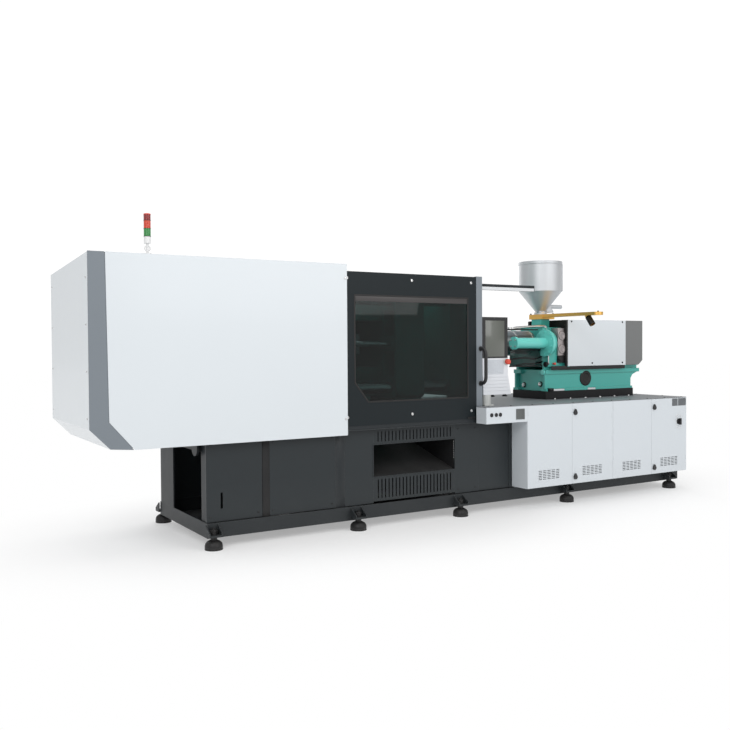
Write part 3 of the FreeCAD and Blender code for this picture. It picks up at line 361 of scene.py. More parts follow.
# drawn or turned metal: grain stretched along one direction
def buildMetalGrain():
    inputs = [("Colour", "NodeSocketColor", (0.7, 0.7, 0.7, 1)), ("Stretch", "NodeSocketVector", (1, 1, 60)),
              ("Roughness", "NodeSocketFloat", 0.28), ("Spread", "NodeSocketFloat", 0.18)]
    outputs = [("Colour", "NodeSocketColor"), ("Roughness", "NodeSocketFloat"), ("Height", "NodeSocketFloat")]
    group, start, end = newGroup("metalGrain", inputs, outputs)
    place = addNode(group, "ShaderNodeTexCoord")
    squeeze = addNode(group, "ShaderNodeVectorMath", {"operation": "MULTIPLY"})
    group.links.new(place.outputs["Object"], squeeze.inputs[0])
    group.links.new(start.outputs["Stretch"], squeeze.inputs[1])
    grain = addNode(group, "ShaderNodeTexNoise", Scale=9.0, Detail=6.0, Roughness=0.7)
    group.links.new(squeeze.outputs[0], grain.inputs["Vector"])
    cloud = addNode(group, "ShaderNodeTexNoise", Scale=2.5, Detail=2.0)
    group.links.new(place.outputs["Object"], cloud.inputs["Vector"])
    centred = mathNode(group, "SUBTRACT", grain.outputs["Fac"], 0.5)
    rough = mathNode(group, "MULTIPLY_ADD", centred, start.outputs["Spread"], start.outputs["Roughness"])
    group.links.new(mathNode(group, "MAXIMUM", rough, 0.05), end.inputs["Roughness"])
    tone = mathNode(group, "MULTIPLY_ADD", cloud.outputs["Fac"], 0.16, 0.9)
    grey = addNode(group, "ShaderNodeCombineColor")
    for channel in ("Red", "Green", "Blue"):
        group.links.new(tone, grey.inputs[channel])
    group.links.new(mixColour(group, 1.0, start.outputs["Colour"], grey.outputs[0], "MULTIPLY"), end.inputs["Colour"])
    group.links.new(grain.outputs["Fac"], end.inputs["Height"])
    return group


paintCoat = buildPaintCoat()
edgeRound = buildEdgeRound()
settledDust = buildDust()
metalGrain = buildMetalGrain()


def newMaterial(name):
    material = bpy.data.materials.new(name)
    material.use_nodes = True
    tree = material.node_tree
    return material, tree, tree.nodes["Principled BSDF"]


def useGroup(tree, group, **values):
    node = tree.nodes.new("ShaderNodeGroup")
    node.node_tree = group
    for key, value in values.items():
        node.inputs[key.replace("_", " ")].default_value = value
    return node


def bumpFrom(tree, height, strength, distance, normal=None):
    bump = addNode(tree, "ShaderNodeBump", Strength=strength, Distance=distance)
    tree.links.new(height, bump.inputs["Height"])
    if normal is not None:
        tree.links.new(normal, bump.inputs["Normal"])
    return bump.outputs["Normal"]


def paintedMaterial(name, colour, rough=0.38, worn=(0.55, 0.55, 0.55), wear=0.25, dust=0.2, reach=0.5,
                    peel=420.0, bump=0.06, mottle=0.05, edge=0.0025, coat=0.0, shine=0.5):
    material, tree, shader = newMaterial(name)
    paint = useGroup(tree, paintCoat, Colour=(*colour, 1), Mottle=mottle, Peel=peel, Roughness=rough)
    edges = useGroup(tree, edgeRound, Radius=edge)
    dusty = useGroup(tree, settledDust, Amount=dust, Reach=reach)
    wornMask = mathNode(tree, "MULTIPLY", edges.outputs["Edge"], wear)
    bare = mixColour(tree, wornMask, paint.outputs["Colour"], (*worn, 1))
    tree.links.new(bare, dusty.inputs["Colour"])
    tree.links.new(dusty.outputs["Colour"], shader.inputs["Base Color"])
    rougher = mathNode(tree, "MULTIPLY_ADD", dusty.outputs["Mask"], 0.35, paint.outputs["Roughness"])
    tree.links.new(rougher, shader.inputs["Roughness"])
    normal = bumpFrom(tree, paint.outputs["Height"], bump, 0.002, edges.outputs["Normal"])
    tree.links.new(normal, shader.inputs["Normal"])
    shader.inputs["Specular IOR Level"].default_value = shine
    shader.inputs["Coat Weight"].default_value = coat
    shader.inputs["Coat Roughness"].default_value = 0.12
    return material


def metalMaterial(name, colour, rough=0.28, spread=0.18, stretch=(1, 1, 60), bump=0.05, edge=0.0015):
    material, tree, shader = newMaterial(name)
    grain = useGroup(tree, metalGrain, Colour=(*colour, 1), Stretch=stretch, Roughness=rough, Spread=spread)
    edges = useGroup(tree, edgeRound, Radius=edge)
    tree.links.new(grain.outputs["Colour"], shader.inputs["Base Color"])
    tree.links.new(grain.outputs["Roughness"], shader.inputs["Roughness"])
    normal = bumpFrom(tree, grain.outputs["Height"], bump, 0.001, edges.outputs["Normal"])
    tree.links.new(normal, shader.inputs["Normal"])
    shader.inputs["Metallic"].default_value = 1.0
    return material


def tintedWindow(name, colour):
    material, tree, shader = newMaterial(name)
    haze = addNode(tree, "ShaderNodeTexNoise", Scale=5.0, Detail=4.0)
    place = addNode(tree, "ShaderNodeTexCoord")
    tree.links.new(place.outputs["Object"], haze.inputs["Vector"])
    tree.links.new(mathNode(tree, "MULTIPLY_ADD", haze.outputs["Fac"], 0.03, 0.01), shader.inputs["Roughness"])
    tint = mixColour(tree, haze.outputs["Fac"], (*colour, 1), (*[c * 0.9 for c in colour], 1))
    tree.links.new(tint, shader.inputs["Base Color"])
    shader.inputs["Transmission Weight"].default_value = 1.0
    shader.inputs["IOR"].default_value = 1.3
    return material


# three coloured tiers on one beacon, split by height
def beaconMaterial(name, low, high):
    material, tree, shader = newMaterial(name)
    place = addNode(tree, "ShaderNodeTexCoord")
    split = addNode(tree, "ShaderNodeSeparateXYZ")
    tree.links.new(place.outputs["Object"], split.inputs[0])
    level = addNode(tree, "ShaderNodeMapRange")
    level.inputs["From Min"].default_value = low
    level.inputs["From Max"].default_value = high
    tree.links.new(split.outputs["Z"], level.inputs["Value"])
    ramp = addNode(tree, "ShaderNodeValToRGB")
    ramp.color_ramp.interpolation = "CONSTANT"
    tiers = beacon["tiers"]
    ramp.color_ramp.elements[0].color = (*tiers[0][1], 1)
    ramp.color_ramp.elements[1].position = tiers[1][0]
    ramp.color_ramp.elements[1].color = (*tiers[1][1], 1)
    last = ramp.color_ramp.elements.new(tiers[2][0])
    last.color = (*tiers[2][1], 1)
    tree.links.new(level.outputs[0], ramp.inputs["Fac"])
    tree.links.new(ramp.outputs["Color"], shader.inputs["Base Color"])
    ribs = addNode(tree, "ShaderNodeTexWave", {"bands_direction": "Z"}, Scale=90.0)
    tree.links.new(place.outputs["Object"], ribs.inputs["Vector"])
    tree.links.new(bumpFrom(tree, ribs.outputs["Fac"], 0.4, 0.001), shader.inputs["Normal"])
    shader.inputs["Roughness"].default_value = 0.2
    shader.inputs["Coat Weight"].default_value = 0.4
    return material


beacon = {"tiers": [(0.0, (0.03, 0.22, 0.05)), (0.36, (0.55, 0.05, 0.02)), (0.725, (0.22, 0.012, 0.012))]}

print("materials")
lensLow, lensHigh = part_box("beacon_lenses")
finishes = {
    "cover_white": paintedMaterial("coverWhite", (0.64, 0.68, 0.71), 0.34, wear=0.0, dust=0.03, coat=0.3, mottle=0.02),
    "cabinet_white": paintedMaterial("cabinetWhite", (0.60, 0.64, 0.675), 0.36, wear=0.0, dust=0.12, coat=0.25,
                                     mottle=0.02),
    "band_grey": paintedMaterial("bandGrey", (0.175, 0.20, 0.225), 0.4, wear=0.1, dust=0.05),
    "frame_grey": paintedMaterial("frameGrey", (0.017, 0.021, 0.024), 0.45, wear=0.12, dust=0.05, shine=0.28),
    "panel_grey": paintedMaterial("panelGrey", (0.021, 0.026, 0.029), 0.42, wear=0.1, dust=0.04, shine=0.28),
    "door_black": paintedMaterial("doorBlack", (0.0085, 0.013, 0.0155), 0.42, wear=0.06, dust=0.015, shine=0.2),
    "black_metal": paintedMaterial("blackMetal", (0.007, 0.007, 0.008), 0.45, wear=0.15, dust=0.05, shine=0.3),
    "motor_grey": paintedMaterial("motorGrey", (0.11, 0.12, 0.13), 0.45, wear=0.3, dust=0.2),
    "end_grey": paintedMaterial("endGrey", (0.16, 0.165, 0.165), 0.42, wear=0.1, dust=0.05),
    "deck_grey": paintedMaterial("deckGrey", (0.185, 0.195, 0.21), 0.42, wear=0.2, dust=0.15, reach=1.0),
    "rail_white": paintedMaterial("railWhite", (0.66, 0.68, 0.70), 0.35, wear=0.1, dust=0.05),
    "post_grey": paintedMaterial("postGrey", (0.5, 0.515, 0.5), 0.42, wear=0.15, dust=0.1),
    "panel_white": paintedMaterial("panelWhite", (0.66, 0.68, 0.715), 0.38, wear=0.05, dust=0.05, peel=900.0),
    "teal_casting": paintedMaterial("tealCasting", (0.05, 0.395, 0.345), 0.36, wear=0.2, dust=0.12, peel=160.0,
                                    bump=0.22, mottle=0.08, edge=0.004, coat=0.2, reach=1.0),
    "teal_light": paintedMaterial("tealLight", (0.13, 0.58, 0.52), 0.3, wear=0.15, dust=0.05, coat=0.3),
    "hard_chrome": metalMaterial("hardChrome", (0.78, 0.79, 0.8), 0.1, 0.05, (60, 1, 1)),
    "bright_steel": metalMaterial("brightSteel", (0.6, 0.6, 0.61), 0.3, 0.2, (60, 1, 1)),
    "stainless": metalMaterial("stainless", (0.60, 0.62, 0.64), 0.52, 0.05, (1, 1, 45)),
    "brass_plate": metalMaterial("brassPlate", (0.83, 0.50, 0.14), 0.36, 0.2, (2, 40, 40), 0.08),
    "window_tint": tintedWindow("windowTint", (0.105, 0.15, 0.147)),
    "black_plastic": paintedMaterial("blackPlastic", (0.012, 0.012, 0.013), 0.42, wear=0.0, dust=0.08, peel=1500.0,
                                     bump=0.15),
    "screen_black": paintedMaterial("screenBlack", (0.012, 0.012, 0.013), 0.2, wear=0.0, dust=0.02, peel=900.0, bump=0.02),
    "key_grey": paintedMaterial("keyGrey", (0.54, 0.57, 0.61), 0.45, wear=0.05, dust=0.02, peel=1200.0),
    "stop_red": paintedMaterial("stopRed", (0.60, 0.045, 0.015), 0.3, wear=0.0, dust=0.0, peel=900.0, coat=0.4),
    "beacon_white": paintedMaterial("beaconWhite", (0.72, 0.72, 0.72), 0.35, wear=0.0, dust=0.05),
    "beacon_lens": beaconMaterial("beaconLens", lensLow.z, lensHigh.z),
}
zincScrew = metalMaterial("zincScrew", (0.66, 0.66, 0.66), 0.25, 0.1, (20, 20, 20))
rubberSeal = paintedMaterial("rubberSeal", (0.008, 0.008, 0.008), 0.6, wear=0.0, dust=0.05, peel=1500.0, bump=0.2)
screenGlass = paintedMaterial("screenGlass", (0.085, 0.092, 0.078), 0.22, wear=0.0, dust=0.0, peel=900.0, bump=0.0,
                              coat=0.8)
blindRail = paintedMaterial("blindRail", (0.040, 0.036, 0.036), 0.4, wear=0.0, dust=0.05)
grilleGrey = paintedMaterial("grilleGrey", (0.13, 0.14, 0.14), 0.5, wear=0.1, dust=0.05)
bareIron = metalMaterial("bareIron", (0.36, 0.33, 0.33), 0.42, 0.2, (30, 30, 30))
smokedGuard = tintedWindow("smokedGuard", (0.20, 0.24, 0.24))
# rear pane tinted much darker than the front, painted shade: it keeps the bright backdrop from showing through the rear
# door window
shadedRearTint = tintedWindow("shadedRearTint", (0.02, 0.026, 0.026))
guardSheet = metalMaterial("guardSheet", (0.26, 0.29, 0.31), 0.4, 0.08, (40, 1, 1))
# near-black paint, painted shade: it stands in for the shade inside the drop chute, the hood's open end and the panel
# recess
openingShadeBlack = paintedMaterial("openingShadeBlack", (0.006, 0.006, 0.007), 0.7, wear=0.0, dust=0.1)

otherFinish = {"door_rails": finishes["frame_grey"], "drop_chute": openingShadeBlack, "rear_door_window": shadedRearTint,
               "barrel_guard": guardSheet}
for part in frame["record"]["subparts"]:
    mesh = nodes[part["node"]].data
    mesh.materials.clear()
    mesh.materials.append(otherFinish.get(part["node"], finishes[part["material_slot"]]))

# camera, floor and light

camera = {"place": (-4.66, -6.855, 1.57), "lens": 41.9, "turn": 31.232, "tip": 1.244, "lean": -0.354}


def setCamera():
    turn, tip, lean = (math.radians(camera[key]) for key in ("turn", "tip", "lean"))
    ahead = Vector((math.sin(turn) * math.cos(tip), math.cos(turn) * math.cos(tip), -math.sin(tip)))
    level = Vector((math.cos(turn), -math.sin(turn), 0))
    above = level.cross(ahead)
    right = math.cos(lean) * level + math.sin(lean) * above
    up = math.cos(lean) * above - math.sin(lean) * level
    data = bpy.data.cameras.new("camera")
    data.lens = camera["lens"]
    data.sensor_width = 36
    data.clip_end = 200
    eye = bpy.data.objects.new("camera", data)
    bpy.context.collection.objects.link(eye)
    eye.matrix_world = Matrix((
        (right.x, up.x, -ahead.x, camera["place"][0]), (right.y, up.y, -ahead.y, camera["place"][1]),
        (right.z, up.z, -ahead.z, camera["place"][2]), (0, 0, 0, 1)))
    bpy.context.scene.camera = eye


lights = {
    "key": {"place": (-7.5, -7.0, 6.5), "size": 5.0, "power": 300},
    "front": {"place": (2.5, -9.0, 5.0), "size": 6.0, "power": 200},
    "top": {"place": (0.0, 0.5, 8.0), "size": 8.0, "power": 220},
    "back": {"place": (3.0, 7.0, 5.0), "size": 6.0, "power": 120},
}
studio = {"backdrop": 1.05, "bands": 5.0, "dark": 0.30, "bright": 1.0}


# an even white room for the eye, with broad darker bands for metal to mirror
def buildWorld():
    world = bpy.data.worlds.new("studio")
    bpy.context.scene.world = world
    world.use_nodes = True
    tree = world.node_tree
    background = tree.nodes["Background"]
    place = addNode(tree, "ShaderNodeTexCoord")
    split = addNode(tree, "ShaderNodeSeparateXYZ")
    tree.links.new(place.outputs["Generated"], split.inputs[0])
    angle = mathNode(tree, "ARCTAN2", split.outputs["Y"], split.outputs["X"])
    wave = mathNode(tree, "SINE", mathNode(tree, "MULTIPLY", angle, studio["bands"]))
    band = addNode(tree, "ShaderNodeMapRange")
    for key, value in (("From Min", -1), ("From Max", 1), ("To Min", studio["dark"]), ("To Max", studio["bright"])):
        band.inputs[key].default_value = value
    tree.links.new(wave, band.inputs["Value"])
    path = addNode(tree, "ShaderNodeLightPath")
    even = mathNode(tree, "MULTIPLY", path.outputs["Is Camera Ray"], studio["backdrop"])
    rest = mathNode(tree, "SUBTRACT", 1.0, path.outputs["Is Camera Ray"])
    tree.links.new(mathNode(tree, "MULTIPLY_ADD", band.outputs[0], rest, even), background.inputs["Strength"])
    background.inputs["Color"].default_value = (1, 1, 1, 1)


def setLights():
    target = Vector((0, 0, 1.0))
    for name, light in lights.items():
        data = bpy.data.lights.new(name, "AREA")
        data.size = light["size"]
        data.energy = light["power"]
        lamp = bpy.data.objects.new(name, data)
        bpy.context.collection.objects.link(lamp)
        place = Vector(light["place"])
        lamp.matrix_world = Matrix.Translation(place) @ (target - place).to_track_quat("-Z", "Y").to_matrix().to_4x4()
    buildWorld()
    bpy.context.scene.view_settings.view_transform = "Standard"


def layFloor():
    deselectAll()
    bpy.ops.mesh.primitive_plane_add(size=120, location=(0, 0, 0))
    floor = bpy.context.object
    floor.name = "floor"
    material, tree, shader = newMaterial("paleFloor")
    shader.inputs["Base Color"].default_value = (0.95, 0.95, 0.95, 1)
    shader.inputs["Roughness"].default_value = 0.6
    # the floor fades into the white backdrop away from the machine
    place = addNode(tree, "ShaderNodeNewGeometry")
    shrink = addNode(tree, "ShaderNodeVectorMath", {"operation": "MULTIPLY"})
    shrink.inputs[1].default_value = (1 / 4.6, 1 / 2.1, 0)
    tree.links.new(place.outputs["Position"], shrink.inputs[0])
    reach = addNode(tree, "ShaderNodeVectorMath", {"operation": "LENGTH"})
    tree.links.new(shrink.outputs[0], reach.inputs[0])
    fade = addNode(tree, "ShaderNodeMapRange")
    fade.interpolation_type = "SMOOTHSTEP"
    for key, value in (("From Min", 0.55), ("From Max", 1.15), ("To Min", 0.35), ("To Max", 1.0)):
        fade.inputs[key].default_value = value
    tree.links.new(reach.outputs["Value"], fade.inputs["Value"])
    glow = addNode(tree, "ShaderNodeEmission")
    glow.inputs["Strength"].default_value = 1.0
    blend = addNode(tree, "ShaderNodeMixShader")
    tree.links.new(fade.outputs[0], blend.inputs["Fac"])
    tree.links.new(shader.outputs[0], blend.inputs[1])
    tree.links.new(glow.outputs[0], blend.inputs[2])
    tree.links.new(blend.outputs[0], tree.nodes["Material Output"].inputs["Surface"])
    floor.data.materials.append(material)


setCamera()
setLights()
layFloor()
print("camera, lights and floor")

# small hardware and details, each riding on the body it is fixed to

toOperator = (0, -1, 0)
toClampEnd = (-1, 0, 0)
upright = (0, 0, 1)


def joinPieces(pieces):
    deselectAll()
    for piece in pieces:
        piece.select_set(True)
    bpy.context.view_layer.objects.active = pieces[0]
    if len(pieces) > 1:
        bpy.ops.object.join()
    return bpy.context.view_layer.objects.active


def setOut(name, body, master, places, material, direction=upright, smooth=30):
    piece = repeatPiece(master, [standAt(place, direction) for place in places])
    return finishPiece(piece, name, body, material, smooth)


def spread(first, last, count):
    return [first + (last - first) * i / (count - 1) for i in range(count)]


# a flat frame in the XZ plane with one lower corner cut off, pulled out towards the operator
def cutFrame(low, high, y, cut, width, depth):
    deselectAll()
    centre = ((low[0] + high[0]) / 2, y, (low[1] + high[1]) / 2)
    bpy.ops.mesh.primitive_plane_add(size=1, location=centre, rotation=(math.pi / 2, 0, 0))
    piece = bpy.context.object
    piece.scale = (high[0] - low[0], high[1] - low[1], 1)
    makeActive(piece)
    bpy.ops.object.transform_apply(location=True, rotation=True, scale=True)
    startEdit(piece)
    if cut:
        bpy.ops.mesh.select_all(action="SELECT")
        bpy.ops.mesh.bisect(plane_co=(low[0] + cut[0], y, low[1]), plane_no=(-cut[1], 0, -cut[0]), clear_outer=True)
    bpy.ops.mesh.select_all(action="SELECT")
    bpy.ops.mesh.inset(thickness=width)
    bpy.ops.mesh.delete(type="FACE")
    bpy.ops.mesh.select_all(action="SELECT")
    bpy.ops.mesh.extrude_region_move(TRANSFORM_OT_translate={"value": (0, -depth, 0)})
    bpy.ops.mesh.select_all(action="SELECT")
    bpy.ops.mesh.normals_make_consistent(inside=False)
    endEdit()
    applyModifier(piece, "BEVEL", width=min(width, depth) * 0.25, segments=2, limit_method="ANGLE")
    return piece


doorTrim = {"gasket": 0.014, "barTop": 2.013, "barLow": 1.958, "cut": (0.137, 0.172), "screwRadius": 0.0125,
            "screwHeight": 0.007, "inset": 0.062, "bracket": (0.105, 0.018)}


def dressDoor():
    low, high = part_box("front_door_panel")
    paneLow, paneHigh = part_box("front_door_window")
    face = low.y
    gasket = cutFrame((paneLow.x, paneLow.z), (paneHigh.x, paneHigh.z), face + 0.003, doorTrim["cut"],
                      doorTrim["gasket"], 0.005)
    finishPiece(gasket, "windowGasket", "front_door", rubberSeal)
    bar = softBlock((paneLow.x + 0.004, face + 0.0005, doorTrim["barLow"]),
                    (paneHigh.x - 0.004, face + 0.0035, doorTrim["barTop"]), 0.001)
    finishPiece(bar, "windowBlindRail", "front_door", blindRail)
    inset = doorTrim["inset"]
    stations = (low.x + inset, (low.x + high.x) / 2, high.x - inset)
    places = [(x, face, z) for x in stations for z in (low.z + 0.078, high.z - 0.058)]
    setOut("doorScrews", "front_door", capScrew(doorTrim["screwRadius"], doorTrim["screwHeight"]), places,
           zincScrew, toOperator)
    length, height = doorTrim["bracket"]
    arm = softBlock((high.x - length, face - 0.008, low.z + 0.004), (high.x, face, low.z + 0.004 + height), 0.003)
    finishPiece(arm, "doorStopBracket", "front_door", finishes["black_metal"])
    handleLow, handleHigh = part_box("front_door_handle")
    x = (handleLow.x + handleHigh.x) / 2
    radius = (handleHigh.x - handleLow.x) / 2
    foot = turnedPiece([(0.004, radius * 1.5), (0.003, radius * 1.25)], 40, 0.0008)
    places = [(x, handleHigh.y, z) for z in (handleLow.z + radius, handleHigh.z - radius)]
    setOut("doorHandleFeet", "front_door", foot, places, finishes["black_plastic"], toOperator)
    rear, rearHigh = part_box("rear_door_panel")
    rearPane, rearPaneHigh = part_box("rear_door_window")
    back = cutFrame((rearPane.x, rearPane.z), (rearPaneHigh.x, rearPaneHigh.z), rearPaneHigh.y + 0.005,
                    doorTrim["cut"], doorTrim["gasket"], 0.005)
    finishPiece(back, "rearWindowGasket", "rear_door", rubberSeal)
    places = [(x, rear.y + 0.028, z) for x in (rear.x + inset, high.x - inset) for z in (rear.z + 0.078, rearHigh.z - 0.058)]
    setOut("rearDoorScrews", "rear_door", capScrew(doorTrim["screwRadius"], doorTrim["screwHeight"]),
           [(x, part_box("rear_door_window")[1].y + 0.004, z) for x, y, z in places], zincScrew,
           (0, 1, 0))


railTrim = {"low": 0.0, "height": 0.026, "thick": 0.002}


def dressRail():
    low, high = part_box("door_rails")
    postLow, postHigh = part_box("front_door_post")
    top = high.z
    y = -0.597
    strip = softBlock((low.x + 0.01, y - railTrim["thick"], top - 0.056), (high.x - 0.002, y, top - 0.056 + 0.030), 0.0007)
    finishPiece(strip, "railFascia", "base", finishes["rail_white"])
    cap = softBlock((high.x - 0.004, -0.5985, top - 0.057), (high.x + 0.004, -0.5585, top + 0.001), 0.0015)
    finishPiece(cap, "railEndCap", "base", finishes["black_metal"])


coverTrim = {"screwRadius": 0.011, "screwHeight": 0.006}


def dressClampCover():
    low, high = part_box("clamp_cover_front")
    places = [(high.x - 0.018, low.y, z) for z in (0.96, 2.147)]
    setOut("coverCatches", "base", capScrew(coverTrim["screwRadius"], coverTrim["screwHeight"]), places,
           zincScrew, toOperator)
    capLow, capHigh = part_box("clamp_end_cap")
    places = [(capLow.x, y, z) for y in (capLow.y + 0.05, capHigh.y - 0.05) for z in spread(1.06, 2.08, 4)]
    setOut("endCapScrews", "base", capScrew(0.008, 0.004), places, zincScrew, toClampEnd)
    roofLow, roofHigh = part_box("clamp_roof")
    tilt = math.atan2(roofHigh.z - roofLow.z - 0.003, roofHigh.y - roofLow.y)
    seams = []
    for x in (-2.45, -1.75):
        seam = softBlock((x - 0.025, roofLow.y + 0.02, 0), (x + 0.025, roofHigh.y - 0.02, 0.0035), 0.001)
        seam.matrix_world = Matrix.Translation((0, 0, (roofLow.z + roofHigh.z) / 2)) @ Matrix.Rotation(-tilt, 4, "X")
        seams.append(seam)
    finishPiece(joinPieces(seams), "roofSeams", "base", finishes["cover_white"])
    ringPlaces = [(x, y, roofLow.z + (roofHigh.y - y) * math.tan(tilt) + 0.0025)
                  for x in (-2.95, -1.25) for y in (-0.4, 0.4)]
    plug = turnedPiece([(0.004, 0.03), (0.004, 0.022)], 32, 0.001)
    setOut("liftingPlugs", "base", plug, ringPlaces, finishes["black_plastic"])


beaconTrim = {"ring": 0.0015, "height": 0.004}


def dressBeacon():
    low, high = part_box("beacon_lenses")
    x, y = (low.x + high.x) / 2, (low.y + high.y) / 2
    radius = (high.x - low.x) / 2 + beaconTrim["ring"]
    height = beaconTrim["height"]
    heights = [low.z - height / 2, low.z + 0.059 - height / 2, low.z + 0.119 - height / 2]
    band = turnedPiece([(height, radius)], 40, 0.001)
    setOut("beaconBands", "base", band, [(x, y, z) for z in heights], finishes["black_plastic"])
    lid = turnedPiece([(0.005, radius), (0.004, radius * 0.8), (0.002, radius * 0.4)], 40, 0.001)
    setOut("beaconLid", "base", lid, [(x, y, high.z - 0.002)], finishes["stop_red"])


deckTrim = {"screwRadius": 0.008, "screwHeight": 0.004, "edge": 0.03}


def dressDeck():
    low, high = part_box("deck_plate")
    front = [(x, low.y + deckTrim["edge"], high.z) for x in spread(low.x + 0.05, high.x - 0.05, 11)]
    back = [(x, high.y - deckTrim["edge"], high.z) for x in spread(low.x + 0.32, high.x - 0.05, 9)]
    ends = [(high.x - 0.04, y, high.z) for y in spread(-0.5, 0.6, 4)]
    setOut("deckScrews", "base", capScrew(deckTrim["screwRadius"], deckTrim["screwHeight"]), front + back + ends,
           finishes["black_metal"])
    plinthLow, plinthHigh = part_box("plinth")
    places = [(x, plinthLow.y - 0.022, high.z) for x in spread(plinthLow.x + 0.1, plinthHigh.x - 0.1, 6)]
    places += [(x, plinthHigh.y + 0.022, high.z) for x in spread(plinthLow.x + 0.1, plinthHigh.x - 0.1, 6)]
    setOut("plinthBolts", "base", hexHead(0.013, 0.009), places, zincScrew)


boxTrim = {"sockets": (0.380, 0.434, 0.483), "socketHeight": 0.931, "ring": 0.0185, "grille": (0.674, 0.779, 0.876, 0.975),
           "slats": 11}


def dressOperatorBox():
    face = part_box("deck_plate")[0].y
    ring = turnedPiece([(0.004, boxTrim["ring"]), (0.003, 0.0155), (0, 0.010), (-0.006, 0.0095)], 36, 0.0008)
    places = [(x, face, boxTrim["socketHeight"]) for x in boxTrim["sockets"]]
    setOut("socketRings", "base", ring, places, finishes["black_plastic"], toOperator)
    left, right, bottom, top = boxTrim["grille"]
    parts = [cutFrame((left, bottom), (right, top), face, None, 0.006, 0.005),
             softBlock((left + 0.003, face - 0.0015, bottom + 0.003), (right - 0.003, face, top - 0.003), 0.0004)]
    for z in spread(bottom + 0.011, top - 0.011, boxTrim["slats"]):
        parts.append(softBlock((left + 0.005, face - 0.0045, z - 0.0022), (right - 0.005, face - 0.001, z + 0.0022), 0.0008))
    finishPiece(joinPieces(parts), "coolingGrille", "base", grilleGrey)
    low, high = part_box("cabinet_body")
    label = softBlock((0.372, face - 0.001, 0.896), (0.494, face, 0.908), 0.0004)
    finishPiece(label, "socketStrip", "base", finishes["cover_white"])


cabinetTrim = {"plates": ((2.866, 2.953), (2.962, 3.088)), "plateLow": 0.913, "plateHigh": 0.992,
               "isolatorPlate": (0.04, 0.075)}


def dressCabinet():
    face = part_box("cabinet_door_4")[0].y
    plates = []
    rivets = []
    for left, right in cabinetTrim["plates"]:
        plates.append(softBlock((left, face - 0.0015, cabinetTrim["plateLow"]), (right, face, cabinetTrim["plateHigh"]), 0.0005))
        for x in (left + 0.006, right - 0.006):
            rivets += [(x, face - 0.0015, z) for z in (cabinetTrim["plateLow"] + 0.006, cabinetTrim["plateHigh"] - 0.006)]
    finishPiece(joinPieces(plates), "blankPlates", "cabinet_door_4", finishes["motor_grey"])
    setOut("plateRivets", "cabinet_door_4", turnedPiece([(0.0008, 0.0022), (0.0005, 0.0014)], 12),
           rivets, zincScrew, toOperator)
    low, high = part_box("isolator_switch")
    x, z = (low.x + high.x) / 2, (low.z + high.z) / 2
    halfWide, halfTall = cabinetTrim["isolatorPlate"]
    plate = cutFrame((x - halfWide, z - halfTall), (x + halfWide, z + halfTall), face, None, 0.009, 0.0025)
    finishPiece(plate, "isolatorPlate", "cabinet_door_4", finishes["rail_white"])
    seals = []
    for index in (1, 2, 3):
        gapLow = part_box("cabinet_door_%d" % index)[1].x
        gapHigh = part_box("cabinet_door_%d" % (index + 1))[0].x
        middle = (gapLow + gapHigh) / 2
        half = min(0.0018, (gapHigh - gapLow) / 2 - 0.0004)
        doorLow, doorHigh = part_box("cabinet_door_1")
        seals.append(softBlock((middle - half, face + 0.003, doorLow.z + 0.004),
                               (middle + half, doorHigh.y + 0.001, doorHigh.z - 0.004), 0.0003))
    finishPiece(joinPieces(seals), "doorSeals", "base", rubberSeal)
    for index in (1, 2, 3, 4):
        doorLow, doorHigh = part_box("cabinet_door_%d" % index)
        hinge = doorLow.x + 0.012 if index in (1, 3) else doorHigh.x - 0.012
        lift = 0.07 if index in (1, 3) else 0.0
        places = [(hinge, face + 0.002, z + lift) for z in (0.33, 0.60, 0.83)]
        knuckle = turnedPiece([(0.05, 0.0045)], 16, 0.001)
        setOut("hingeCover_%d" % index, "cabinet_door_%d" % index, knuckle, places, finishes["cabinet_white"])


panelTrim = {"ribs": (1.275, 1.243, 1.211, 1.179, 1.147), "edge": 0.012, "feet": (0.56, 0.715), "glassEdge": 0.0385}


def dressPanel():
    low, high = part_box("panel_housing")
    face = low.y
    screenLow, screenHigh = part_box("panel_screen")
    glass = softBlock((screenLow.x + 0.0385, face + 0.0004, screenLow.z + 0.0145),
                      (screenHigh.x - 0.0385, face + 0.0018, screenHigh.z - 0.0325), 0.0005)
    finishPiece(glass, "displayGlass", "control_panel", screenGlass)
    ribs = []
    for z in panelTrim["ribs"]:
        flare = max(0.0, (1.295 - z) / (1.295 - low.z))
        left = screenLow.x + 0.003 + (low.x - screenLow.x - 0.003) * flare
        right = screenHigh.x + 0.002 + (high.x - screenHigh.x - 0.002) * flare
        ribs.append(softBlock((left + panelTrim["edge"], face - 0.0035, z - 0.004),
                              (right - panelTrim["edge"], face, z + 0.004), 0.0016))
    finishPiece(joinPieces(ribs), "housingRibs", "control_panel", finishes["panel_white"])
    foot = turnedPiece([(0.006, 0.016), (0.010, 0.028), (0.006, 0.024)], 28, 0.0015)
    setOut("housingFeet", "control_panel", foot, [(x, face + 0.04, low.z) for x in panelTrim["feet"]],
           finishes["black_plastic"], (0, 0, -1))
    stopLow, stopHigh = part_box("emergency_stop")
    x, z = (stopLow.x + stopHigh.x) / 2, (stopLow.z + stopHigh.z) / 2
    collar = turnedPiece([(0.003, 0.033), (0.004, 0.029)], 40, 0.001)
    setOut("stopCollar", "control_panel", collar, [(x, face, z)], finishes["post_grey"], toOperator)
    dot = turnedPiece([(0.002, 0.019), (0.0015, 0.012)], 36, 0.0006)
    setOut("stopCrown", "emergency_stop", dot, [(x, stopLow.y + 0.0005, z)], finishes["stop_red"], toOperator)
    strip = softBlock((screenLow.x + 0.045, face - 0.0015, 1.300), (screenHigh.x - 0.055, face, 1.3105), 0.0006)
    finishPiece(strip, "keyStrip", "control_panel", finishes["key_grey"])


bedTrim = {"cap": (2.140, 1.216, 0.084), "bolts": ((0.124, 1.145), (-0.131, 1.161)), "shims": ((1.642, 1.808), (2.157, 2.268))}


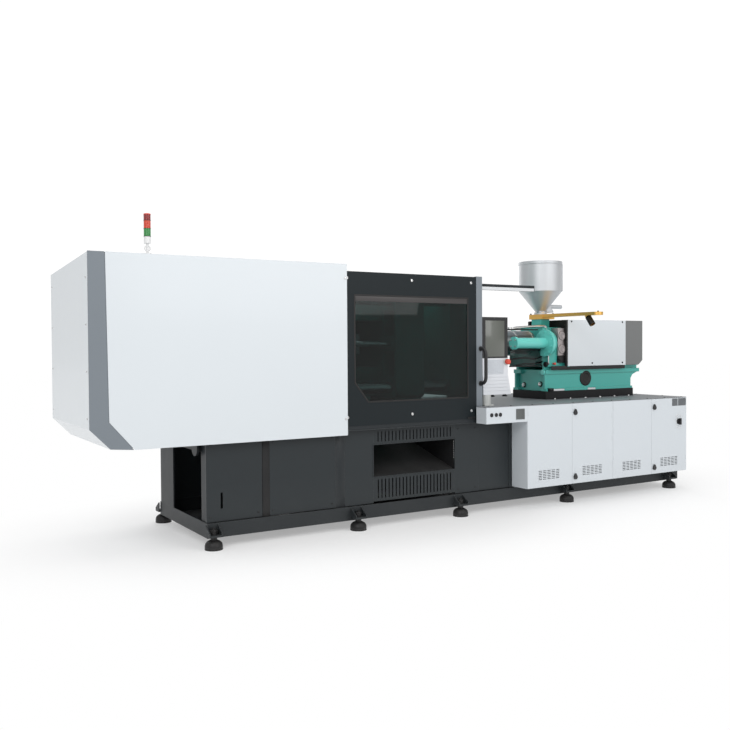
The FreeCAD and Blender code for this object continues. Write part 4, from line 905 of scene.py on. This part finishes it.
def dressBed():
    low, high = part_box("carriage_bed")
    x, z, radius = bedTrim["cap"]
    face = -0.235
    cap = turnedPiece([(0.006, radius), (0.004, radius * 0.9), (0, radius * 0.66), (-0.006, radius * 0.6)], 56, 0.0015)
    setOut("bedHoleCap", "base", cap, [(x, face, z)], rubberSeal, toOperator)
    places = [(low.x + 0.040, y, height) for y, height in bedTrim["bolts"]]
    setOut("bedEndBolts", "base", capScrew(0.021, 0.020), places, zincScrew, toClampEnd)
    washer = turnedPiece([(0.003, 0.030)], 32, 0.0008)
    setOut("bedEndWashers", "base", washer, places, finishes["black_metal"], toClampEnd)
    shims = [softBlock((left, low.y - 0.002, low.z + 0.0005), (right, low.y + 0.05, low.z + 0.0205), 0.002)
             for left, right in bedTrim["shims"]]
    finishPiece(joinPieces(shims), "bedShims", "base", finishes["rail_white"])
    boss = turnedPiece([(0.010, 0.030), (0.004, 0.026)], 36, 0.002)
    setOut("bedCornerBoss", "base", boss, [(low.x, -0.215, 1.288)], finishes["teal_light"], toClampEnd)
    clamp = [softBlock((1.575, -0.290, 1.0905), (1.630, -0.248, 1.122), 0.004),
             softBlock((1.585, -0.300, 1.100), (1.600, -0.286, 1.112), 0.002)]
    finishPiece(joinPieces(clamp), "bedClamp", "base", finishes["black_metal"])


unitTrim = {"flangeBolts": 10, "flangeRadius": 0.115, "guardStraps": (0.78, 1.02, 1.27, 1.49)}


def dressInjectionUnit():
    low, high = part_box("injection_cylinders")
    tubeRadius = 0.055
    axisZ = (low.z + high.z) / 2
    face = high.x - 0.030
    places = []
    for side in (-1, 1):
        for i in range(unitTrim["flangeBolts"]):
            angle = 2 * math.pi * (i + 0.5) / unitTrim["flangeBolts"]
            reach = unitTrim["flangeRadius"]
            places.append((face, side * 0.250 + reach * math.cos(angle), axisZ + reach * math.sin(angle)))
    setOut("flangeBolts", "carriage", capScrew(0.0095, 0.008), places, finishes["teal_light"], toClampEnd)
    places = [(face, side * 0.250 - side * 0.05, axisZ + drop) for side in (-1, 1) for drop in (-0.045, 0.045)]
    setOut("cylinderPorts", "carriage", capScrew(0.011, 0.016), places, finishes["black_metal"], toClampEnd)
    nuts = [(low.x + 0.0, side * 0.250 + 0.045 * math.cos(a), axisZ + 0.045 * math.sin(a))
            for side in (-1, 1) for a in (math.pi / 4, 3 * math.pi / 4, 5 * math.pi / 4, 7 * math.pi / 4)]
    setOut("cylinderEndBolts", "carriage", capScrew(0.008, 0.007), nuts, zincScrew, toClampEnd)
    guardLow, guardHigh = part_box("barrel_guard")
    radius = (guardHigh.z - guardLow.z) / 2
    strap = turnedPiece([(0.018, radius + 0.002)], 72, 0.0008)
    setOut("guardStraps", "carriage", strap, [(x, 0, axisZ) for x in unitTrim["guardStraps"]], zincScrew,
           (1, 0, 0))
    # machined feed block with two bearing bosses, and the dark gear housing under it
    block = softBlock((1.705, -0.272, 1.462), (1.812, -0.168, 1.752), 0.004)
    bosses = [turnedPiece([(0.007, 0.047), (0.003, 0.041), (0, 0.026), (-0.005, 0.024)], 48, 0.0012) for i in range(2)]
    for boss, z in zip(bosses, (1.671, 1.531)):
        boss.matrix_world = standAt((1.760, -0.2725, z), toOperator)
    finishPiece(joinPieces([block] + bosses), "feedBlock", "carriage", bareIron)
    gearbox = softBlock((1.708, -0.272, 1.386), (1.806, -0.180, 1.460), 0.006)
    dial = turnedPiece([(0.010, 0.024), (0.004, 0.018)], 32, 0.002)
    dial.matrix_world = standAt((1.733, -0.272, 1.430), toOperator)
    finishPiece(joinPieces([gearbox, dial]), "gearHousing", "carriage", finishes["black_metal"])
    hoodLow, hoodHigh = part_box("injection_cover")
    # near-black blocks at the hood's open end, painted shade: they stand in for the shade inside the opening
    openingShadeBlocks = [softBlock((hoodLow.x - 0.020, hoodLow.y + 0.004, hoodLow.z + 0.002), (hoodLow.x + 0.002, hoodLow.y + 0.030, hoodHigh.z - 0.004), 0.002),
            softBlock((hoodLow.x - 0.020, hoodHigh.y - 0.030, hoodLow.z + 0.002), (hoodLow.x + 0.002, hoodHigh.y - 0.004, hoodHigh.z - 0.004), 0.002),
            softBlock((hoodLow.x + 0.004, hoodLow.y + 0.004, axisZ + 0.168), (hoodLow.x + 0.010, hoodHigh.y - 0.004, hoodHigh.z - 0.004), 0.001)]
    finishPiece(joinPieces(openingShadeBlocks), "hoodOpeningShade", "carriage", openingShadeBlack)
    # a black rubber strip under the hood's lower edge, partly a wiper and partly painted shade: it stands in for the
    # shaded gap between hood and bed
    wiperShadeStrip = softBlock((1.600, hoodLow.y + 0.012, 1.3125), (hoodHigh.x, hoodLow.y + 0.020, hoodLow.z + 0.003), 0.001)
    finishPiece(wiperShadeStrip, "slideWiperShade", "carriage", rubberSeal)
    screws = [(hoodLow.x + 0.052, hoodLow.y, hoodHigh.z - 0.018), (hoodLow.x + 0.356, hoodLow.y, hoodLow.z + 0.028),
              (hoodHigh.x - 0.052, hoodLow.y, hoodHigh.z - 0.018), (hoodHigh.x - 0.052, hoodLow.y, hoodLow.z + 0.028)]
    setOut("hoodScrews", "carriage", capScrew(0.009, 0.005), screws, finishes["black_metal"], toOperator)
    rear = [(x, hoodHigh.y, z) for x, y, z in screws]
    setOut("hoodRearScrews", "carriage", capScrew(0.009, 0.005), rear, finishes["black_metal"], (0, 1, 0))


def dressBarrel():
    tube = bentPipe([(1.165, -0.150, 1.735), (1.185, -0.150, 1.752), (1.35, -0.150, 1.762), (1.60, -0.150, 1.776),
                     (1.640, -0.150, 1.772), (1.650, -0.150, 1.745)], 0.0135)
    finishPiece(tube, "steelFeedTube", "carriage", zincScrew, 60)
    ends = []
    for place, direction in (((1.150, -0.150, 1.728), upright), ((1.640, -0.150, 1.735), upright)):
        nut = hexHead(0.021, 0.030)
        nut.matrix_world = standAt(place, direction)
        ends.append(nut)
    finishPiece(joinPieces(ends), "feedTubeNuts", "carriage", zincScrew)
    duct = softBlock((1.130, -0.172, 1.728), (1.520, -0.128, 1.742), 0.004)
    finishPiece(duct, "heaterWireDuct", "carriage", finishes["black_metal"])
    skirt = softBlock((1.115, -0.192, 1.358), (1.552, -0.186, 1.532), 0.0015)
    finishPiece(skirt, "barrelSkirt", "carriage", smokedGuard)
    frameTop = softBlock((1.110, -0.197, 1.520), (1.556, -0.184, 1.535), 0.002)
    frameLow = softBlock((1.110, -0.197, 1.350), (1.556, -0.184, 1.364), 0.002)
    finishPiece(joinPieces([frameTop, frameLow]), "skirtFrame", "carriage", finishes["black_metal"])
    loop = bentPipe([(1.600, -0.250, 1.470), (1.588, -0.262, 1.500), (1.574, -0.268, 1.470), (1.572, -0.268, 1.400),
                     (1.586, -0.262, 1.368), (1.600, -0.250, 1.380)], 0.006)
    finishPiece(loop, "greaseLine", "carriage", zincScrew, 60)
    valve = turnedPiece([(0.018, 0.028), (0.006, 0.024), (0.004, 0.012)], 32, 0.002)
    setOut("drainValve", "carriage", valve, [(1.575, -0.236, 1.372)], finishes["black_metal"], toClampEnd)
    plug = turnedPiece([(0.010, 0.010), (0.022, 0.014), (0.004, 0.010)], 20, 0.0015)
    setOut("oilPlug", "carriage", plug, [(1.655, -0.250, 1.378)], finishes["stop_red"], toOperator)
    lines = [bentPipe([(1.20, -0.150, 1.36), (1.32, -0.172, 1.39), (1.45, -0.176, 1.372), (1.575, -0.172, 1.40)], 0.009),
             bentPipe([(1.20, -0.120, 1.43), (1.36, -0.160, 1.45), (1.48, -0.170, 1.42), (1.575, -0.160, 1.46)], 0.008)]
    finishPiece(joinPieces(lines), "oilLines", "carriage", finishes["black_metal"], 60)


hopperTrim = {"bead": 0.006}


def roundBead(x, y, z, radius, thick):
    deselectAll()
    bpy.ops.mesh.primitive_torus_add(location=(x, y, z), major_radius=radius, minor_radius=thick,
                                     major_segments=96, minor_segments=10)
    piece = bpy.context.object
    piece.scale = (1, 1, 0.8)
    return piece


def dressHopper():
    lidLow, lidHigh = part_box("hopper_lid")
    slideLow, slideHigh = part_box("hopper_slide")
    x, y = (lidLow.x + lidHigh.x) / 2, (lidLow.y + lidHigh.y) / 2
    radius = (lidHigh.x - lidLow.x) / 2 - 0.006
    coneTop = slideHigh.z + 0.246
    beads = [roundBead(x, y, lidHigh.z - 0.037, radius + 0.001, hopperTrim["bead"]),
             roundBead(x, y, coneTop, radius - 0.001, hopperTrim["bead"] * 0.6)]
    seam = softBlock((x + radius * 0.64, -radius * 0.782, coneTop), (x + radius * 0.70, -radius * 0.72, lidHigh.z - 0.04), 0.0015)
    beads.append(seam)
    finishPiece(joinPieces(beads), "hopperBeads", "hopper", finishes["stainless"], 60)
    drain = softBlock((x + 0.050, -0.042, slideHigh.z + 0.022), (x + 0.150, 0.042, slideHigh.z + 0.090), 0.003)
    startEdit(drain)
    bpy.ops.mesh.select_all(action="SELECT")
    bpy.ops.mesh.bisect(plane_co=(x + 0.112, 0, slideHigh.z + 0.086), plane_no=(1, 0, 0.75), clear_outer=True, use_fill=True)
    endEdit()
    finishPiece(drain, "hopperDrain", "hopper", finishes["stainless"])
    outlet = turnedPiece([(0.010, 0.064), (0.005, 0.060)], 56, 0.0015)
    startEdit(outlet)
    endEdit()
    setOut("hopperCollar", "hopper", outlet, [(x, y, slideHigh.z + 0.0185)], zincScrew)
    pins = [(slideLow.x + 0.012, slideHigh.y - 0.014, slideHigh.z), (slideHigh.x - 0.012, slideHigh.y - 0.014, slideHigh.z),
            (slideHigh.x - 0.010, -0.092, slideHigh.z), (x + 0.032, slideLow.y + 0.075, slideHigh.z)]
    setOut("slideKnobs", "carriage", capScrew(0.0085, 0.013), pins, finishes["black_metal"])
    sleeve = turnedPiece([(0.098, 0.0305), (0, 0.0245), (-0.03, 0.0245)], 44, 0.001)
    setOut("drainSleeve", "carriage", sleeve, [(x, -0.6925, 1.8556)], finishes["black_metal"], (0, -70, -92))


def dressFeet():
    stations = (-2.263, -0.954, 0.1455, 1.486, 3.021)
    places = [(x, side * 0.618, 0.1325) for x in stations for side in (-1, 1)]
    setOut("footNuts", "base", hexHead(0.030, 0.020), places, finishes["black_metal"])
    dome = turnedPiece([(0.014, 0.070), (0.016, 0.066), (0.014, 0.054), (0.010, 0.036)], 48, 0.002)
    setOut("footDomes", "base", dome, [(x, y, 0.018) for x, y, z in places], finishes["black_metal"])
    pads = turnedPiece([(0.004, 0.071), (0.003, 0.069)], 48, 0.001)
    setOut("footPads", "base", pads, [(x, y, 0.0) for x, y, z in places], rubberSeal)


def dressBase():
    # painted shade: a near-black strip on the panel face stands in for the shaded gap behind the drop opening, and the
    # folded rim round it
    recessShade = softBlock((-1.822, -0.5658, 0.195), (-1.758, -0.5648, 0.884), 0.0003)
    finishPiece(recessShade, "panelRecessShade", "base", openingShadeBlack)
    fold = softBlock((-1.143, -0.5658, 0.195), (-1.054, -0.5648, 0.884), 0.0003)
    finishPiece(fold, "panelFold", "base", finishes["frame_grey"])
    lip = cutFrame((-0.772, 0.424), (0.127, 0.717), -0.5655, None, 0.008, 0.003)
    finishPiece(lip, "chuteRim", "base", finishes["panel_grey"])
    places = [(x, -0.565, z) for x in (-2.27, -1.86, -1.73, -1.18, 0.16, 0.36) for z in (0.24, 0.80)]
    setOut("panelScrews", "base", capScrew(0.007, 0.004), places, finishes["black_metal"], toOperator)
    places = [(x, 0.565, z) for x in (-2.27, -1.86, -1.73, -1.18, -1.03, -0.79, -0.74, 0.09, 0.15, 0.36)
              for z in (0.24, 0.80)]
    setOut("rearPanelScrews", "base", capScrew(0.007, 0.004), places, finishes["black_metal"], (0, 1, 0))
    low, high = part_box("rear_panels")
    places = [(x, high.y, z) for x in spread(0.62, 3.04, 6) for z in (0.24, 0.965)]
    setOut("rearHousingScrews", "base", capScrew(0.008, 0.004), places, zincScrew, (0, 1, 0))
    places = [(high.x, y, z) for y in spread(-0.36, 0.80, 5) for z in (0.24, 0.965)]
    setOut("endWallScrews", "base", capScrew(0.008, 0.004), places, zincScrew, (1, 0, 0))


for stage, build in (("doors", dressDoor), ("rail", dressRail), ("clamp cover", dressClampCover), ("beacon", dressBeacon),
                     ("deck", dressDeck), ("operator box", dressOperatorBox), ("cabinet", dressCabinet),
                     ("control panel", dressPanel), ("bed", dressBed), ("injection unit", dressInjectionUnit),
                     ("barrel", dressBarrel), ("hopper", dressHopper), ("feet", dressFeet), ("base", dressBase)):
    build()
    print("dressed", stage)
